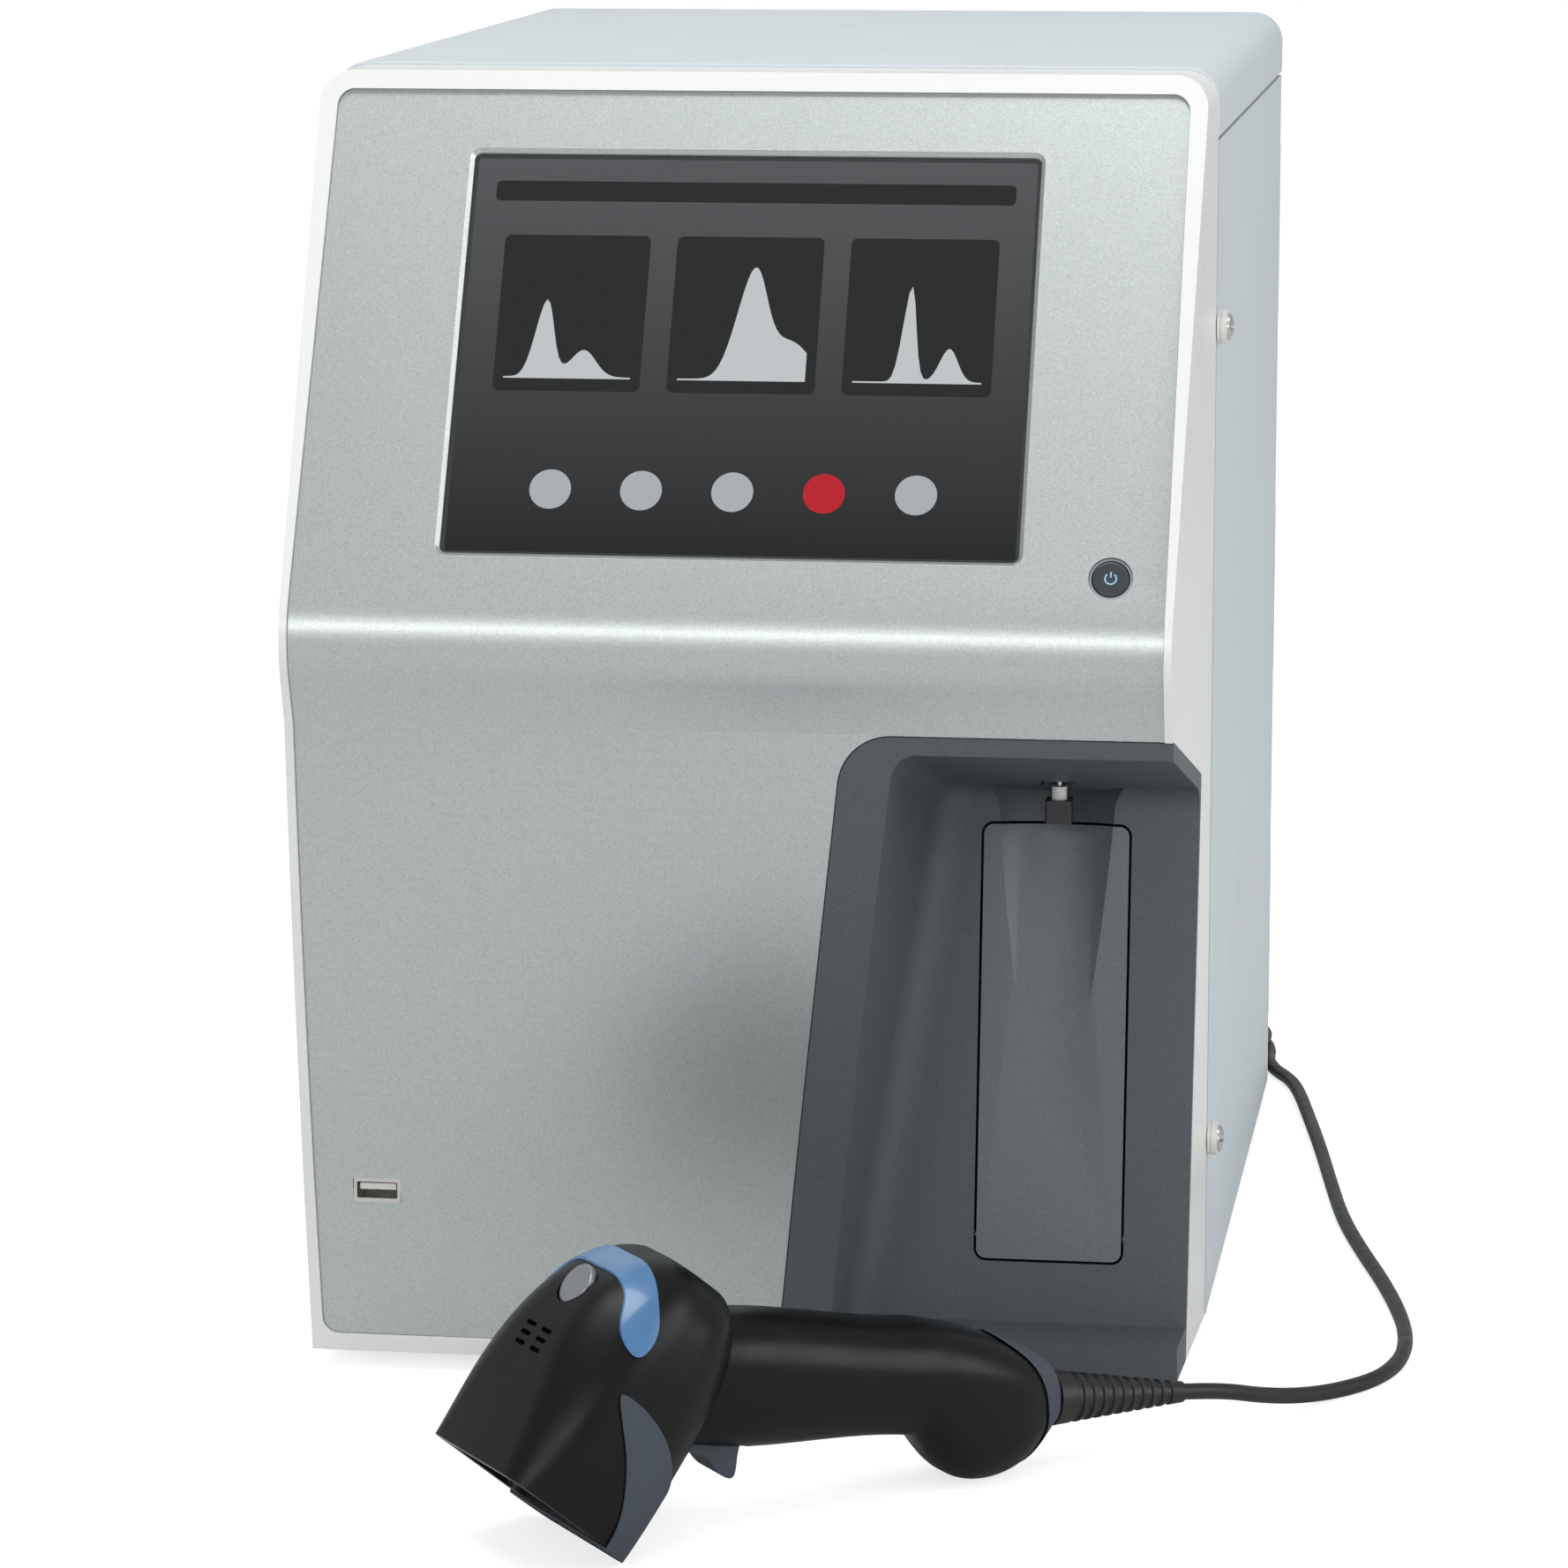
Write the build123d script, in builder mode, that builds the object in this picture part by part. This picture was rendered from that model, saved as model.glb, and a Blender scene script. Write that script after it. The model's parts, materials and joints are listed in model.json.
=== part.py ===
from build123d import *
import math
import os

os.makedirs("parts", exist_ok=True)

# Bench-top hematology analyzer with its corded hand scanner.
# X runs to the analyzer's right as seen from the front, Y to its rear, Z up.
# The origin is on the bench, under the middle of the analyzer's footprint. Millimetres.

# Overall sizes
body_width = 270.0
body_depth = 430.0
top_height = 392.0
foot_height = 6.0
skirt_bottom = 371.0
front_depth = 109.0
sheet = 1.5
door_sheet = 2.0
panel_gap = 0.8
cover_wall = 2.5
cover_corner = 10.0

# Places that follow from them
half_width = body_width / 2
front_y = -body_depth / 2
rear_y = body_depth / 2
seam_y = front_y + front_depth
side_top = skirt_bottom - panel_gap
tray_top = foot_height + sheet

# Front bezel: its profile seen from the side, and its walls
slope_angle = 28.9
under_angle = 20.0
tuck_angle = 7.9
nose_radius = 28.4
nose_height = 228.4
crease_height = 204.5
lower_bow = 2.9
bezel_wall = 3.0
lip_proud = 1.4
bezel_front_half = 130.6
bezel_step = 0.2
bezel_top = 391.0
bezel_top_corner = 10.0

# Fascia
fascia_thickness = 2.3
fascia_half_width = 128.2
fascia_top = 385.4
fascia_bottom = 11.5
fascia_corner = 5.0
fascia_tape = 0.2
fascia_gap = 0.15

# Display
display_width = 170.4
display_height = 127.8
display_from_top = 84.2
display_corner = 2.2
display_lip = 1.2
glass_thickness = 1.1
module_width = 188.0
module_height = 144.0
module_depth = 9.0

# Power button
button_x = 112.1
button_z = 251.8
button_radius = 5.5
button_hole_radius = 6.45
button_length = 7.0
button_travel = 1.2
button_setback = 0.3

# Front USB socket
usb_x = -109.3
usb_z = 58.7
usb_shell_width = 13.1
usb_shell_height = 5.7
usb_shell_wall = 0.35
usb_flange_width = 14.4
usb_flange_height = 7.7
usb_depth = 14.0

# Sampling port
port_left = 35.0
port_lean = 6.9
port_band = 15.2
port_lip = 5.4
port_corner = 16.0
port_wall = 2.6
port_clearance = 0.3
port_floor = 16.5
ceiling_fall = 17.0
back_lean = 8.1
back_foot_y = -158.0
back_corner = 12.0
ceiling_corner = 8.0
side_draft = 7.5

# Start plate
plate_x = 90.6
plate_width = 44.0
plate_height = 132.0
plate_foot_z = 35.3
plate_gap = 0.8
plate_thickness = 4.0
plate_corner = 3.0
plate_pin_radius = 1.5
plate_pin_clearance = 0.05
plate_pin_up = 6.0
plate_pin_back = 8.5
scoop_radius = 22.0
scoop_wall = 2.6
scoop_depth = 8.0
scoop_length = 82.0

# Probe
probe_x = 92.0
probe_y = -144.0
needle_radius = 0.8
needle_clearance = 0.08
wash_size = 8.0
wash_bottom = 168.5
wash_height = 7.0
collar_radius = 2.3
collar_height = 4.0
carriage_z = 262.0


def slope_tan(angle):
    return math.tan(math.radians(angle))


# Corner of the nose before it is rounded, on the bezel's outer face
half_turn = math.radians((slope_angle + under_angle) / 2)
nose_tilt = math.radians((slope_angle - under_angle) / 2)
nose_reach = nose_radius / math.cos(half_turn)
nose_y = front_y + nose_radius - nose_reach * math.cos(nose_tilt)
nose_z = nose_height + nose_reach * math.sin(nose_tilt)
crease_y = nose_y + slope_tan(under_angle) * (nose_z - crease_height)
foot_y = crease_y + slope_tan(tuck_angle) * (crease_height - foot_height)
far = 60.0


def front_block(setback):
    """Everything behind the front's face, set back by a distance, as one wide solid."""
    with BuildPart() as block:
        with BuildSketch(Plane.YZ):
            with BuildLine():
                high = (nose_y + slope_tan(slope_angle) * (top_height + far - nose_z), top_height + far)
                nose = (nose_y, nose_z)
                crease = (crease_y, crease_height)
                foot = (foot_y, foot_height)
                below = (foot_y + slope_tan(tuck_angle + 3) * far, foot_height - far)
                middle = ((crease_y + foot_y) / 2 - lower_bow, (crease_height + foot_height) / 2)
                Polyline((far, foot_height - far), (far, top_height + far), high, nose, crease)
                ThreePointArc(crease, middle, foot)
                Polyline(foot, below, (far, foot_height - far))
            front = make_face()
            fillet(front.vertices().sort_by_distance(nose)[0], nose_radius)
            if setback:
                offset(amount=-setback, kind=Kind.INTERSECTION, mode=Mode.REPLACE)
        extrude(amount=half_width + far, both=True)
    return block.part


def front_y_at(height):
    """The bezel's outer face on the upper slope, at a height."""
    return nose_y + slope_tan(slope_angle) * (height - nose_z)


def bezel_outline(inset, reach):
    """The bezel's outside, drawn in by a wall, ending a distance behind the seam."""
    with BuildPart() as block:
        with BuildSketch(Plane.XY.offset(-far)):
            with BuildLine():
                side = half_width - bezel_step - inset
                nose = bezel_front_half - inset
                Polyline((-side, seam_y), (-nose, front_y), (nose, front_y), (side, seam_y), close=True)
            make_face()
            if reach:
                with Locations((0, seam_y + reach / 2)):
                    Rectangle(2 * side, reach)
        extrude(amount=top_height + 2 * far)
        with BuildSketch(Plane.XZ.offset(-far)):
            with BuildLine():
                low = foot_height + inset
                high = bezel_top - inset
                Polyline((-half_width - far, low), (half_width + far, low),
                         (half_width + far, high), (-half_width - far, high), close=True)
            make_face()
        extrude(amount=body_depth, mode=Mode.INTERSECT)
    return block.part


# Slope plane: on the fascia's outer face, at the middle of the display
fascia_slope_y = front_y_at(fascia_top) + lip_proud / math.cos(math.radians(slope_angle))
slope_up = (0, math.sin(math.radians(slope_angle)), math.cos(math.radians(slope_angle)))
slope_out = (0, -math.cos(math.radians(slope_angle)), math.sin(math.radians(slope_angle)))
display_centre = (0, fascia_slope_y - display_from_top * slope_up[1], fascia_top - display_from_top * slope_up[2])
display_plane = Plane(origin=display_centre, x_dir=(1, 0, 0), z_dir=slope_out)
button_up = (button_z - display_centre[2]) / slope_up[2]
button_plane = Plane(origin=display_plane.from_local_coords((button_x, button_up, 0)), x_dir=(1, 0, 0), z_dir=slope_out)


def port_outline(grow, deep):
    """The port seen from the front: a leaning left edge and a rounded top corner."""
    with BuildPart() as prism:
        with BuildSketch(Plane.XZ.offset(-front_y + 20)):
            with BuildLine():
                lean = slope_tan(port_lean)
                top = crease_height - 0.1 + grow
                left = port_left - grow
                low = foot_height - 20
                Polyline((left, top), (half_width + far, top), (half_width + far, low),
                         (left - lean * (top - low), low), close=True)
            outline = make_face()
            fillet(outline.vertices().sort_by_distance((left, top))[0], port_corner + grow)
        extrude(amount=-deep)
    return prism.part


def back_y(height):
    """The port's back wall at a height: it leans back going up."""
    return back_foot_y + slope_tan(back_lean) * (height - port_floor)


ceiling_front_z = crease_height - port_lip
ceiling_front_y = crease_y + lip_proud


def ceiling_z(y):
    return ceiling_front_z - slope_tan(ceiling_fall) * (y - ceiling_front_y)


corner_z = ceiling_z(back_foot_y + 22.5)
corner_y = back_y(corner_z)
wall_front = (port_left + port_band - slope_tan(port_lean) * port_lip, ceiling_front_y, ceiling_front_z)
wall_foot_y = foot_y + lip_proud - slope_tan(tuck_angle) * (port_floor - foot_height)
wall_foot = (wall_front[0] - slope_tan(port_lean) * (ceiling_front_z - port_floor), wall_foot_y, port_floor)
wall_back = (wall_front[0] + slope_tan(side_draft) * (corner_y - ceiling_front_y), corner_y, ceiling_front_z)


def port_cavity(grow):
    """The hollow of the port, grown on every wall; it runs out at the front and the right."""
    along = Vector(*wall_front) - Vector(*wall_foot)
    inward = Vector(*wall_back) - Vector(*wall_front)
    normal = along.cross(inward).normalized()
    if normal.X < 0:
        normal = normal * -1
    start = Vector(*wall_front) - normal * grow
    with BuildPart() as hollow:
        with BuildSketch(Plane.YZ.offset(-20)):
            with BuildLine():
                out_y = front_y - 40
                Polyline((out_y, ceiling_z(out_y)), (corner_y, corner_z), (back_foot_y, port_floor),
                         (out_y, port_floor), close=True)
            make_face()
            if grow:
                offset(amount=grow, kind=Kind.INTERSECTION)
        extrude(amount=half_width + 60)
        split(bisect_by=Plane(origin=start, x_dir=along, z_dir=normal), keep=Keep.TOP)
        wall = hollow.faces().sort_by(Axis.X)[0]
        rear = [e for e in wall.edges() if e.center().Y > back_foot_y - 5 and abs(e.tangent_at(0.5).Z) > 0.8]
        fillet(rear, back_corner + grow)
        ceiling_edges = [e for e in hollow.edges() if e.center().Z > corner_z - 6 and e.center().X < half_width
                         and (e.center().Y > front_y) and e.center().Z < 215]
        fillet([e for e in ceiling_edges if abs(e.tangent_at(0.5).Z) < 0.6], ceiling_corner)
    return hollow.part


# Base tray: a folded sheet pan with vent slots, and the four feet it stands on
foot_radius = 11.0
foot_in_x = 24.0
foot_in_y = 26.0
foot_stem_radius = 3.0
foot_hole_radius = 3.2
tray_inset = 3.6
tray_wall_height = 14.0
vent_length = 44.0
vent_width = 3.5
vent_pitch = 9.0
shelf_front = seam_y - 47.0
shelf_inset = 6.0
shelf_gap = 0.3
foot_rows = (shelf_front + 13.0, rear_y - foot_in_y)
foot_places = [(side * (half_width - foot_in_x), y) for side in (-1, 1) for y in foot_rows]
tray_width = body_width - 2 * tray_inset
shelf_width = tray_width - 2 * shelf_inset

panel_screw_radius = 1.5
low_screw_places = [(x, foot_height + tray_wall_height / 2) for x in (-100.0, 0.0, 100.0)]

with BuildPart() as base_tray:
    tray_front = seam_y + 2.0
    tray_depth = rear_y - sheet - tray_front
    with BuildSketch(Plane.XY.offset(foot_height)):
        with Locations((0, tray_front + tray_depth / 2)):
            Rectangle(tray_width, tray_depth)
    extrude(amount=tray_wall_height)
    with BuildSketch(Plane.XY.offset(tray_top)):
        with Locations((0, tray_front + tray_depth / 2)):
            Rectangle(tray_width - 2 * sheet, tray_depth - 2 * sheet)
    extrude(amount=tray_wall_height, mode=Mode.SUBTRACT)
    # a shelf runs forward under the bezel, for the front feet
    with BuildSketch(Plane.XY.offset(foot_height)):
        with Locations((0, (shelf_front + tray_front + sheet) / 2)):
            Rectangle(shelf_width, tray_front + sheet - shelf_front)
    extrude(amount=sheet)
    with BuildSketch(Plane.XY.offset(foot_height)):
        with Locations((-55, 60)):
            with GridLocations(vent_length + 8, vent_pitch, 2, 7):
                SlotOverall(vent_length, vent_width)
    extrude(amount=sheet, mode=Mode.SUBTRACT)
    with Locations(*[(x, y, tray_top) for x, y in foot_places]):
        Hole(foot_hole_radius, depth=2 * sheet)
    with BuildSketch(Plane.XZ.offset(-rear_y)):
        with Locations(*low_screw_places):
            Circle(panel_screw_radius)
    extrude(amount=4 * sheet, mode=Mode.SUBTRACT)
base_tray.part.label = "base_tray"
export_step(base_tray.part, "parts/base_tray.step")

with BuildPart() as rubber_feet:
    with BuildSketch():
        with Locations(*foot_places):
            Circle(foot_radius)
    extrude(amount=foot_height)
    chamfer(rubber_feet.edges().group_by(Axis.Z)[0], 1.0)
    with BuildSketch(Plane.XY.offset(foot_height)):
        with Locations(*foot_places):
            Circle(foot_stem_radius)
    extrude(amount=4.0)
rubber_feet.part.label = "rubber_feet"
export_step(rubber_feet.part, "parts/rubber_feet.step")

# Front bezel: one moulding with a raised lip, thin walls behind it and the port cut out
fascia_seat = lip_proud + fascia_thickness + fascia_tape
web_depth = fascia_seat + bezel_wall

bezel_outside = front_block(0) & bezel_outline(0, 0)
bezel_inside = front_block(web_depth) & bezel_outline(bezel_wall, 20)


def fascia_prism(grow):
    """The fascia's outline, straight from the front."""
    with BuildPart() as prism:
        with BuildSketch(Plane.XZ.offset(-front_y + 10)):
            with Locations((0, (fascia_top + fascia_bottom) / 2)):
                RectangleRounded(2 * (fascia_half_width + grow), fascia_top - fascia_bottom + 2 * grow,
                                 fascia_corner)
        extrude(amount=-body_depth / 2)
    return prism.part


def display_prism(grow, start, deep, corner):
    """A rounded block on the slope, at the display."""
    with BuildPart() as prism:
        with BuildSketch(display_plane.offset(start)):
            RectangleRounded(display_width + 2 * grow, display_height + 2 * grow, corner)
        extrude(amount=-deep)
    return prism.part


def port_pocket(grow):
    """The block of space that the port moulding fills in the bezel, grown by a clearance."""
    with BuildPart() as side_view:
        with BuildSketch(Plane.YZ):
            with BuildLine():
                out_y = front_y - 40
                high = port_lip + grow
                deep = (port_wall + grow) / math.cos(math.radians(back_lean))
                top_y = corner_y + deep
                foot_back = back_y(foot_height - 20) + deep
                Polyline((out_y, ceiling_z(out_y) + high), (top_y, ceiling_z(top_y) + high),
                         (top_y, corner_z), (foot_back, foot_height - 20), (out_y, foot_height - 20),
                         close=True)
            make_face()
        extrude(amount=half_width + far)
    return port_outline(grow, body_depth / 2) & side_view.part


latch_heights = (61.8, 313.9)
latch_behind_seam = 4.0
latch_y = seam_y + latch_behind_seam
latch_shaft_radius = 1.9
latch_tab_x = 126.0
latch_tab_thickness = 2.0
latch_paddle_length = 8.0
latch_paddle_width = 2.4
latch_slot_gap = 0.8

with BuildPart() as front_bezel:
    add(bezel_outside)
    upright = front_bezel.edges().filter_by(lambda e: abs(e.center().X) > bezel_front_half - 1)
    crowns = [e for e in upright if abs(e.tangent_at(0.5).Y) > 0.98 and e.center().Z > bezel_top - 1]
    fillet(crowns, bezel_top_corner)
    add(bezel_inside, mode=Mode.SUBTRACT)
    add(fascia_prism(fascia_gap) & (front_block(-20) - front_block(fascia_seat)), mode=Mode.SUBTRACT)
    add(display_prism(1.5, 5, 20, display_corner), mode=Mode.SUBTRACT)
    add(port_pocket(port_clearance), mode=Mode.SUBTRACT)
    # the bezel's floor rests over the tray's shelf and clears the front feet
    with BuildSketch(Plane.XY.offset(foot_height)):
        with Locations((0, (shelf_front + seam_y) / 2)):
            Rectangle(shelf_width + 2 * panel_gap, seam_y - shelf_front + 2 * panel_gap)
    extrude(amount=sheet + shelf_gap, mode=Mode.SUBTRACT)
    with BuildSketch(Plane.XY.offset(foot_height)):
        with Locations(*[place for place in foot_places if place[1] < seam_y]):
            Circle(foot_stem_radius + 2.0)
    extrude(amount=2 * bezel_wall, mode=Mode.SUBTRACT)
    with BuildSketch(button_plane):
        Circle(button_hole_radius + 1.5)
    extrude(amount=-20, mode=Mode.SUBTRACT)
    with BuildSketch(Plane.XZ.offset(-front_y)):
        with Locations((usb_x, usb_z)):
            Rectangle(usb_shell_width + 1.0, usb_shell_height + 1.0)
    extrude(amount=-60, mode=Mode.SUBTRACT)
    # two ears reach behind the door's edge and take its fasteners
    for height in latch_heights:
        with BuildSketch(Plane.XY.offset(height - 9)):
            with BuildLine():
                Polyline((latch_tab_x, latch_y + 8), (latch_tab_x + latch_tab_thickness, latch_y + 8),
                         (latch_tab_x + latch_tab_thickness, seam_y - 8),
                         (half_width - bezel_wall + 1, seam_y - 12), (half_width - bezel_wall + 1, seam_y - 16),
                         (latch_tab_x, seam_y - 9), close=True)
            make_face()
        extrude(amount=18)
        with BuildSketch(Plane.YZ.offset(latch_tab_x - 1)):
            with Locations((latch_y, height)):
                Circle(latch_shaft_radius + latch_slot_gap / 2)
                Rectangle(latch_paddle_width + latch_slot_gap, latch_paddle_length + latch_slot_gap)
        extrude(amount=latch_tab_thickness + 2, mode=Mode.SUBTRACT)
front_bezel.part.label = "front_bezel"
export_step(front_bezel.part, "parts/front_bezel.step")

# Fascia: a thin painted panel let into the bezel
with BuildPart() as front_fascia:
    add(fascia_prism(0) & (front_block(lip_proud) - front_block(lip_proud + fascia_thickness)))
    add(display_prism(0, 5, 20, display_corner), mode=Mode.SUBTRACT)
    with BuildSketch(display_plane):
        RectangleRounded(display_width + 2 * display_lip, display_height + 2 * display_lip,
                         display_corner + display_lip)
    extrude(amount=-display_lip, taper=45, mode=Mode.SUBTRACT)
    add(port_outline(port_clearance, body_depth / 2), mode=Mode.SUBTRACT)
    with BuildSketch(button_plane.offset(2)):
        Circle(button_hole_radius)
    extrude(amount=-10, mode=Mode.SUBTRACT)
    with BuildSketch(Plane.XZ.offset(-front_y)):
        with Locations((usb_x, usb_z)):
            RectangleRounded(usb_flange_width + 0.2, usb_flange_height + 0.2, 1.2)
    extrude(amount=-60, mode=Mode.SUBTRACT)
front_fascia.part.label = "front_fascia"
export_step(front_fascia.part, "parts/front_fascia.step")

# Plane of the port's back wall, at the middle of the start plate
plate_middle_z = plate_foot_z + plate_height / 2 * math.cos(math.radians(back_lean))
back_out = (0, -math.cos(math.radians(back_lean)), math.sin(math.radians(back_lean)))
plate_plane = Plane(origin=(plate_x, back_y(plate_middle_z), plate_middle_z), x_dir=(1, 0, 0), z_dir=back_out)


def scoop_rod(radius, long):
    """The round bar that the finger groove is cut by: it dives into the wall going up."""
    tilt = math.degrees(math.atan(scoop_depth / scoop_length))
    top = plate_plane.from_local_coords((0, plate_height / 2, scoop_radius - scoop_depth))
    axis = Plane(origin=top, x_dir=(1, 0, 0), z_dir=plate_plane.y_dir).rotated((-tilt, 0, 0))
    with BuildPart() as rod:
        with BuildSketch(axis.offset(-long)):
            Circle(radius)
        extrude(amount=long + 60)
    return rod.part


def plate_prism(grow, back, front):
    with BuildPart() as prism:
        with BuildSketch(plate_plane.offset(-back)):
            RectangleRounded(plate_width + 2 * grow, plate_height + 2 * grow, plate_corner + grow)
        extrude(amount=back + front)
    return prism.part


pin_local = (0, -plate_height / 2 + plate_pin_up, -plate_pin_back)
pin_centre = plate_plane.from_local_coords(pin_local)
pin_plane = Plane(origin=pin_centre, x_dir=(0, 1, 0), z_dir=(1, 0, 0))
pin_half = plate_width / 2 + plate_gap + 7.0
ear_in = plate_width / 2 + plate_gap + 1.0
ear_width = 5.0

with BuildPart() as below_ceiling_block:
    with BuildSketch(Plane.YZ):
        with BuildLine():
            Polyline((front_y, ceiling_z(front_y)), (0, ceiling_z(0)), (0, 0), (front_y, 0), close=True)
        make_face()
    extrude(amount=half_width + far)
below_ceiling = below_ceiling_block.part

with BuildPart() as above_plate_block:
    with BuildSketch(plate_plane):
        with Locations((0, plate_height / 2 + plate_gap + 6)):
            Rectangle(plate_width, 12)
    extrude(amount=-30)
above_plate = above_plate_block.part

with BuildPart() as port_moulding:
    frame_block = port_pocket(0) & front_block(lip_proud - 0.3) & bezel_outline(0, 0)
    lining = port_cavity(port_wall)
    pocket = port_outline(-port_wall, body_depth / 2) & front_block(lip_proud + port_wall) & bezel_outline(4, 0)
    add(frame_block)
    add(pocket - lining, mode=Mode.SUBTRACT)
    add(port_cavity(0), mode=Mode.SUBTRACT)
    add(scoop_rod(scoop_radius + scoop_wall, 100) & above_plate)
    with BuildSketch(plate_plane.offset(-port_wall / 2)):
        with Locations((0, -plate_height / 2 + plate_pin_up)):
            with GridLocations(2 * ear_in + ear_width, 0, 2, 1):
                Rectangle(ear_width, 12)
    extrude(amount=-(plate_pin_back + 2.5))
    add(plate_prism(plate_gap, 30, 30), mode=Mode.SUBTRACT)
    add(scoop_rod(scoop_radius, 100) & below_ceiling, mode=Mode.SUBTRACT)
    with BuildSketch(pin_plane):
        Circle(plate_pin_radius)
    extrude(amount=pin_half, both=True, mode=Mode.SUBTRACT)
    with BuildSketch(Plane.XY.offset(wash_bottom)):
        with Locations((probe_x, probe_y)):
            Rectangle(wash_size + 3, wash_size + 3)
    extrude(amount=60, mode=Mode.SUBTRACT)
port_moulding.part.label = "port_moulding"
export_step(port_moulding.part, "parts/port_moulding.step")

# Start plate: pressed with the sample tube; it swings on a pin behind its foot
with BuildPart() as start_plate:
    bar = scoop_rod(scoop_radius + scoop_wall, 100) & plate_prism(0, 30, 0)
    add(plate_prism(0, plate_thickness, 0))
    add(bar)
    with BuildSketch(plate_plane):
        with Locations((0, -plate_height / 2 + plate_pin_up)):
            with GridLocations(plate_width - 10, 0, 2, 1):
                Rectangle(5, 9)
    extrude(amount=-(plate_pin_back + 4))
    add(scoop_rod(scoop_radius, 100), mode=Mode.SUBTRACT)
    with BuildSketch(pin_plane):
        Circle(plate_pin_radius + plate_pin_clearance)
    extrude(amount=pin_half, both=True, mode=Mode.SUBTRACT)
start_plate.part.label = "start_plate"
export_step(start_plate.part, "parts/start_plate.step")

# Hinge pin of the start plate, held in the port moulding's ears
with BuildPart() as start_plate_pin:
    with BuildSketch(pin_plane):
        Circle(plate_pin_radius)
    extrude(amount=pin_half, both=True)
start_plate_pin.part.label = "start_plate_pin"
export_step(start_plate_pin.part, "parts/start_plate_pin.step")

# Switch behind the plate's top: its plunger waits just past the plate's travel
switch_size = (20.0, 10.0, 6.5)
plate_swing = 1.3
plate_travel = (plate_height - plate_pin_up - 8) * slope_tan(plate_swing)
switch_spare = 0.4
switch_back = plate_thickness + plate_travel + switch_spare
switch_place = (-plate_width / 2 + 4.5, plate_height / 2 - 8)
with BuildPart() as start_switch:
    with BuildSketch(plate_plane.offset(-switch_back)):
        with Locations(switch_place):
            Circle(1.2)
    extrude(amount=-3.0)
    with BuildSketch(plate_plane.offset(-switch_back - 2.0)):
        with Locations((switch_place[0] - 5, switch_place[1])):
            RectangleRounded(switch_size[2] + 8, switch_size[0], 0.8)
    extrude(amount=-switch_size[1])
    # its bracket reaches forward to the back of the port wall
    with BuildSketch(plate_plane.offset(-port_wall)):
        with Locations((switch_place[0] - 5 - (switch_size[2] + 8) / 2 + 1.0, switch_place[1])):
            Rectangle(2.0, switch_size[0])
    extrude(amount=-(switch_back + 2.0 - port_wall))
start_switch.part.label = "start_switch"
export_step(start_switch.part, "parts/start_switch.step")

# Display: a glass behind the fascia's window, the panel and its bracket behind it
with BuildPart() as display_glass:
    with BuildSketch(display_plane.offset(-fascia_thickness - fascia_tape)):
        RectangleRounded(display_width + 2.4, display_height + 2.4, display_corner)
    extrude(amount=-glass_thickness)
display_glass.part.label = "display_glass"
export_step(display_glass.part, "parts/display_glass.step")

module_front = fascia_thickness + fascia_tape + glass_thickness
module_web = web_depth - lip_proud
ear_reach = 9.0
with BuildPart() as display_module:
    with BuildSketch(display_plane.offset(-module_front)):
        RectangleRounded(display_width + 2.4, display_height + 2.4, display_corner)
    extrude(amount=-(module_web - module_front))
    with BuildSketch(display_plane.offset(-module_web)):
        RectangleRounded(module_width, module_height, 3.0)
    extrude(amount=-module_depth)
    with BuildSketch(display_plane.offset(-module_web)):
        with GridLocations(module_width + ear_reach, module_height * 0.6, 2, 2):
            RectangleRounded(ear_reach * 2, 14, 3.0)
        with GridLocations(module_width + ear_reach + 4, module_height * 0.6, 2, 2):
            Circle(1.7, mode=Mode.SUBTRACT)
    extrude(amount=-sheet)
    with BuildSketch(display_plane.offset(-module_web - module_depth)):
        with GridLocations(module_width * 0.5, module_height * 0.5, 2, 2):
            RectangleRounded(module_width * 0.36, module_height * 0.34, 2.0)
    extrude(amount=1.0, mode=Mode.SUBTRACT)
display_module.part.label = "display_module"
export_step(display_module.part, "parts/display_module.step")

# Power button: a round key with a shallow dish, on a switch that sits behind the bezel's web
switch_travel_gap = 0.3
sleeve_inner = button_radius + 0.15
with BuildPart() as power_button:
    with BuildSketch(button_plane.offset(-button_setback - button_length)):
        Circle(button_radius)
    extrude(amount=button_length)
    dish = power_button.edges().filter_by(GeomType.CIRCLE).sort_by_distance(button_plane.origin)[0]
    fillet(dish, 0.8)
power_button.part.label = "power_button"
export_step(power_button.part, "parts/power_button.step")

with BuildPart() as power_switch:
    with BuildSketch(button_plane.offset(-0.7)):
        Circle(button_hole_radius - 0.15)
        Circle(sleeve_inner, mode=Mode.SUBTRACT)
    extrude(amount=-(module_web - 0.7))
    with BuildSketch(button_plane.offset(-module_web)):
        RectangleRounded(20, 20, 2.5)
        Circle(sleeve_inner, mode=Mode.SUBTRACT)
    extrude(amount=-(button_setback + button_length + button_travel + switch_travel_gap - module_web))
    with BuildSketch(button_plane.offset(-(button_setback + button_length + button_travel + switch_travel_gap))):
        RectangleRounded(20, 20, 2.5)
    extrude(amount=-8.0)
power_switch.part.label = "power_switch"
export_step(power_switch.part, "parts/power_switch.step")

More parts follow.
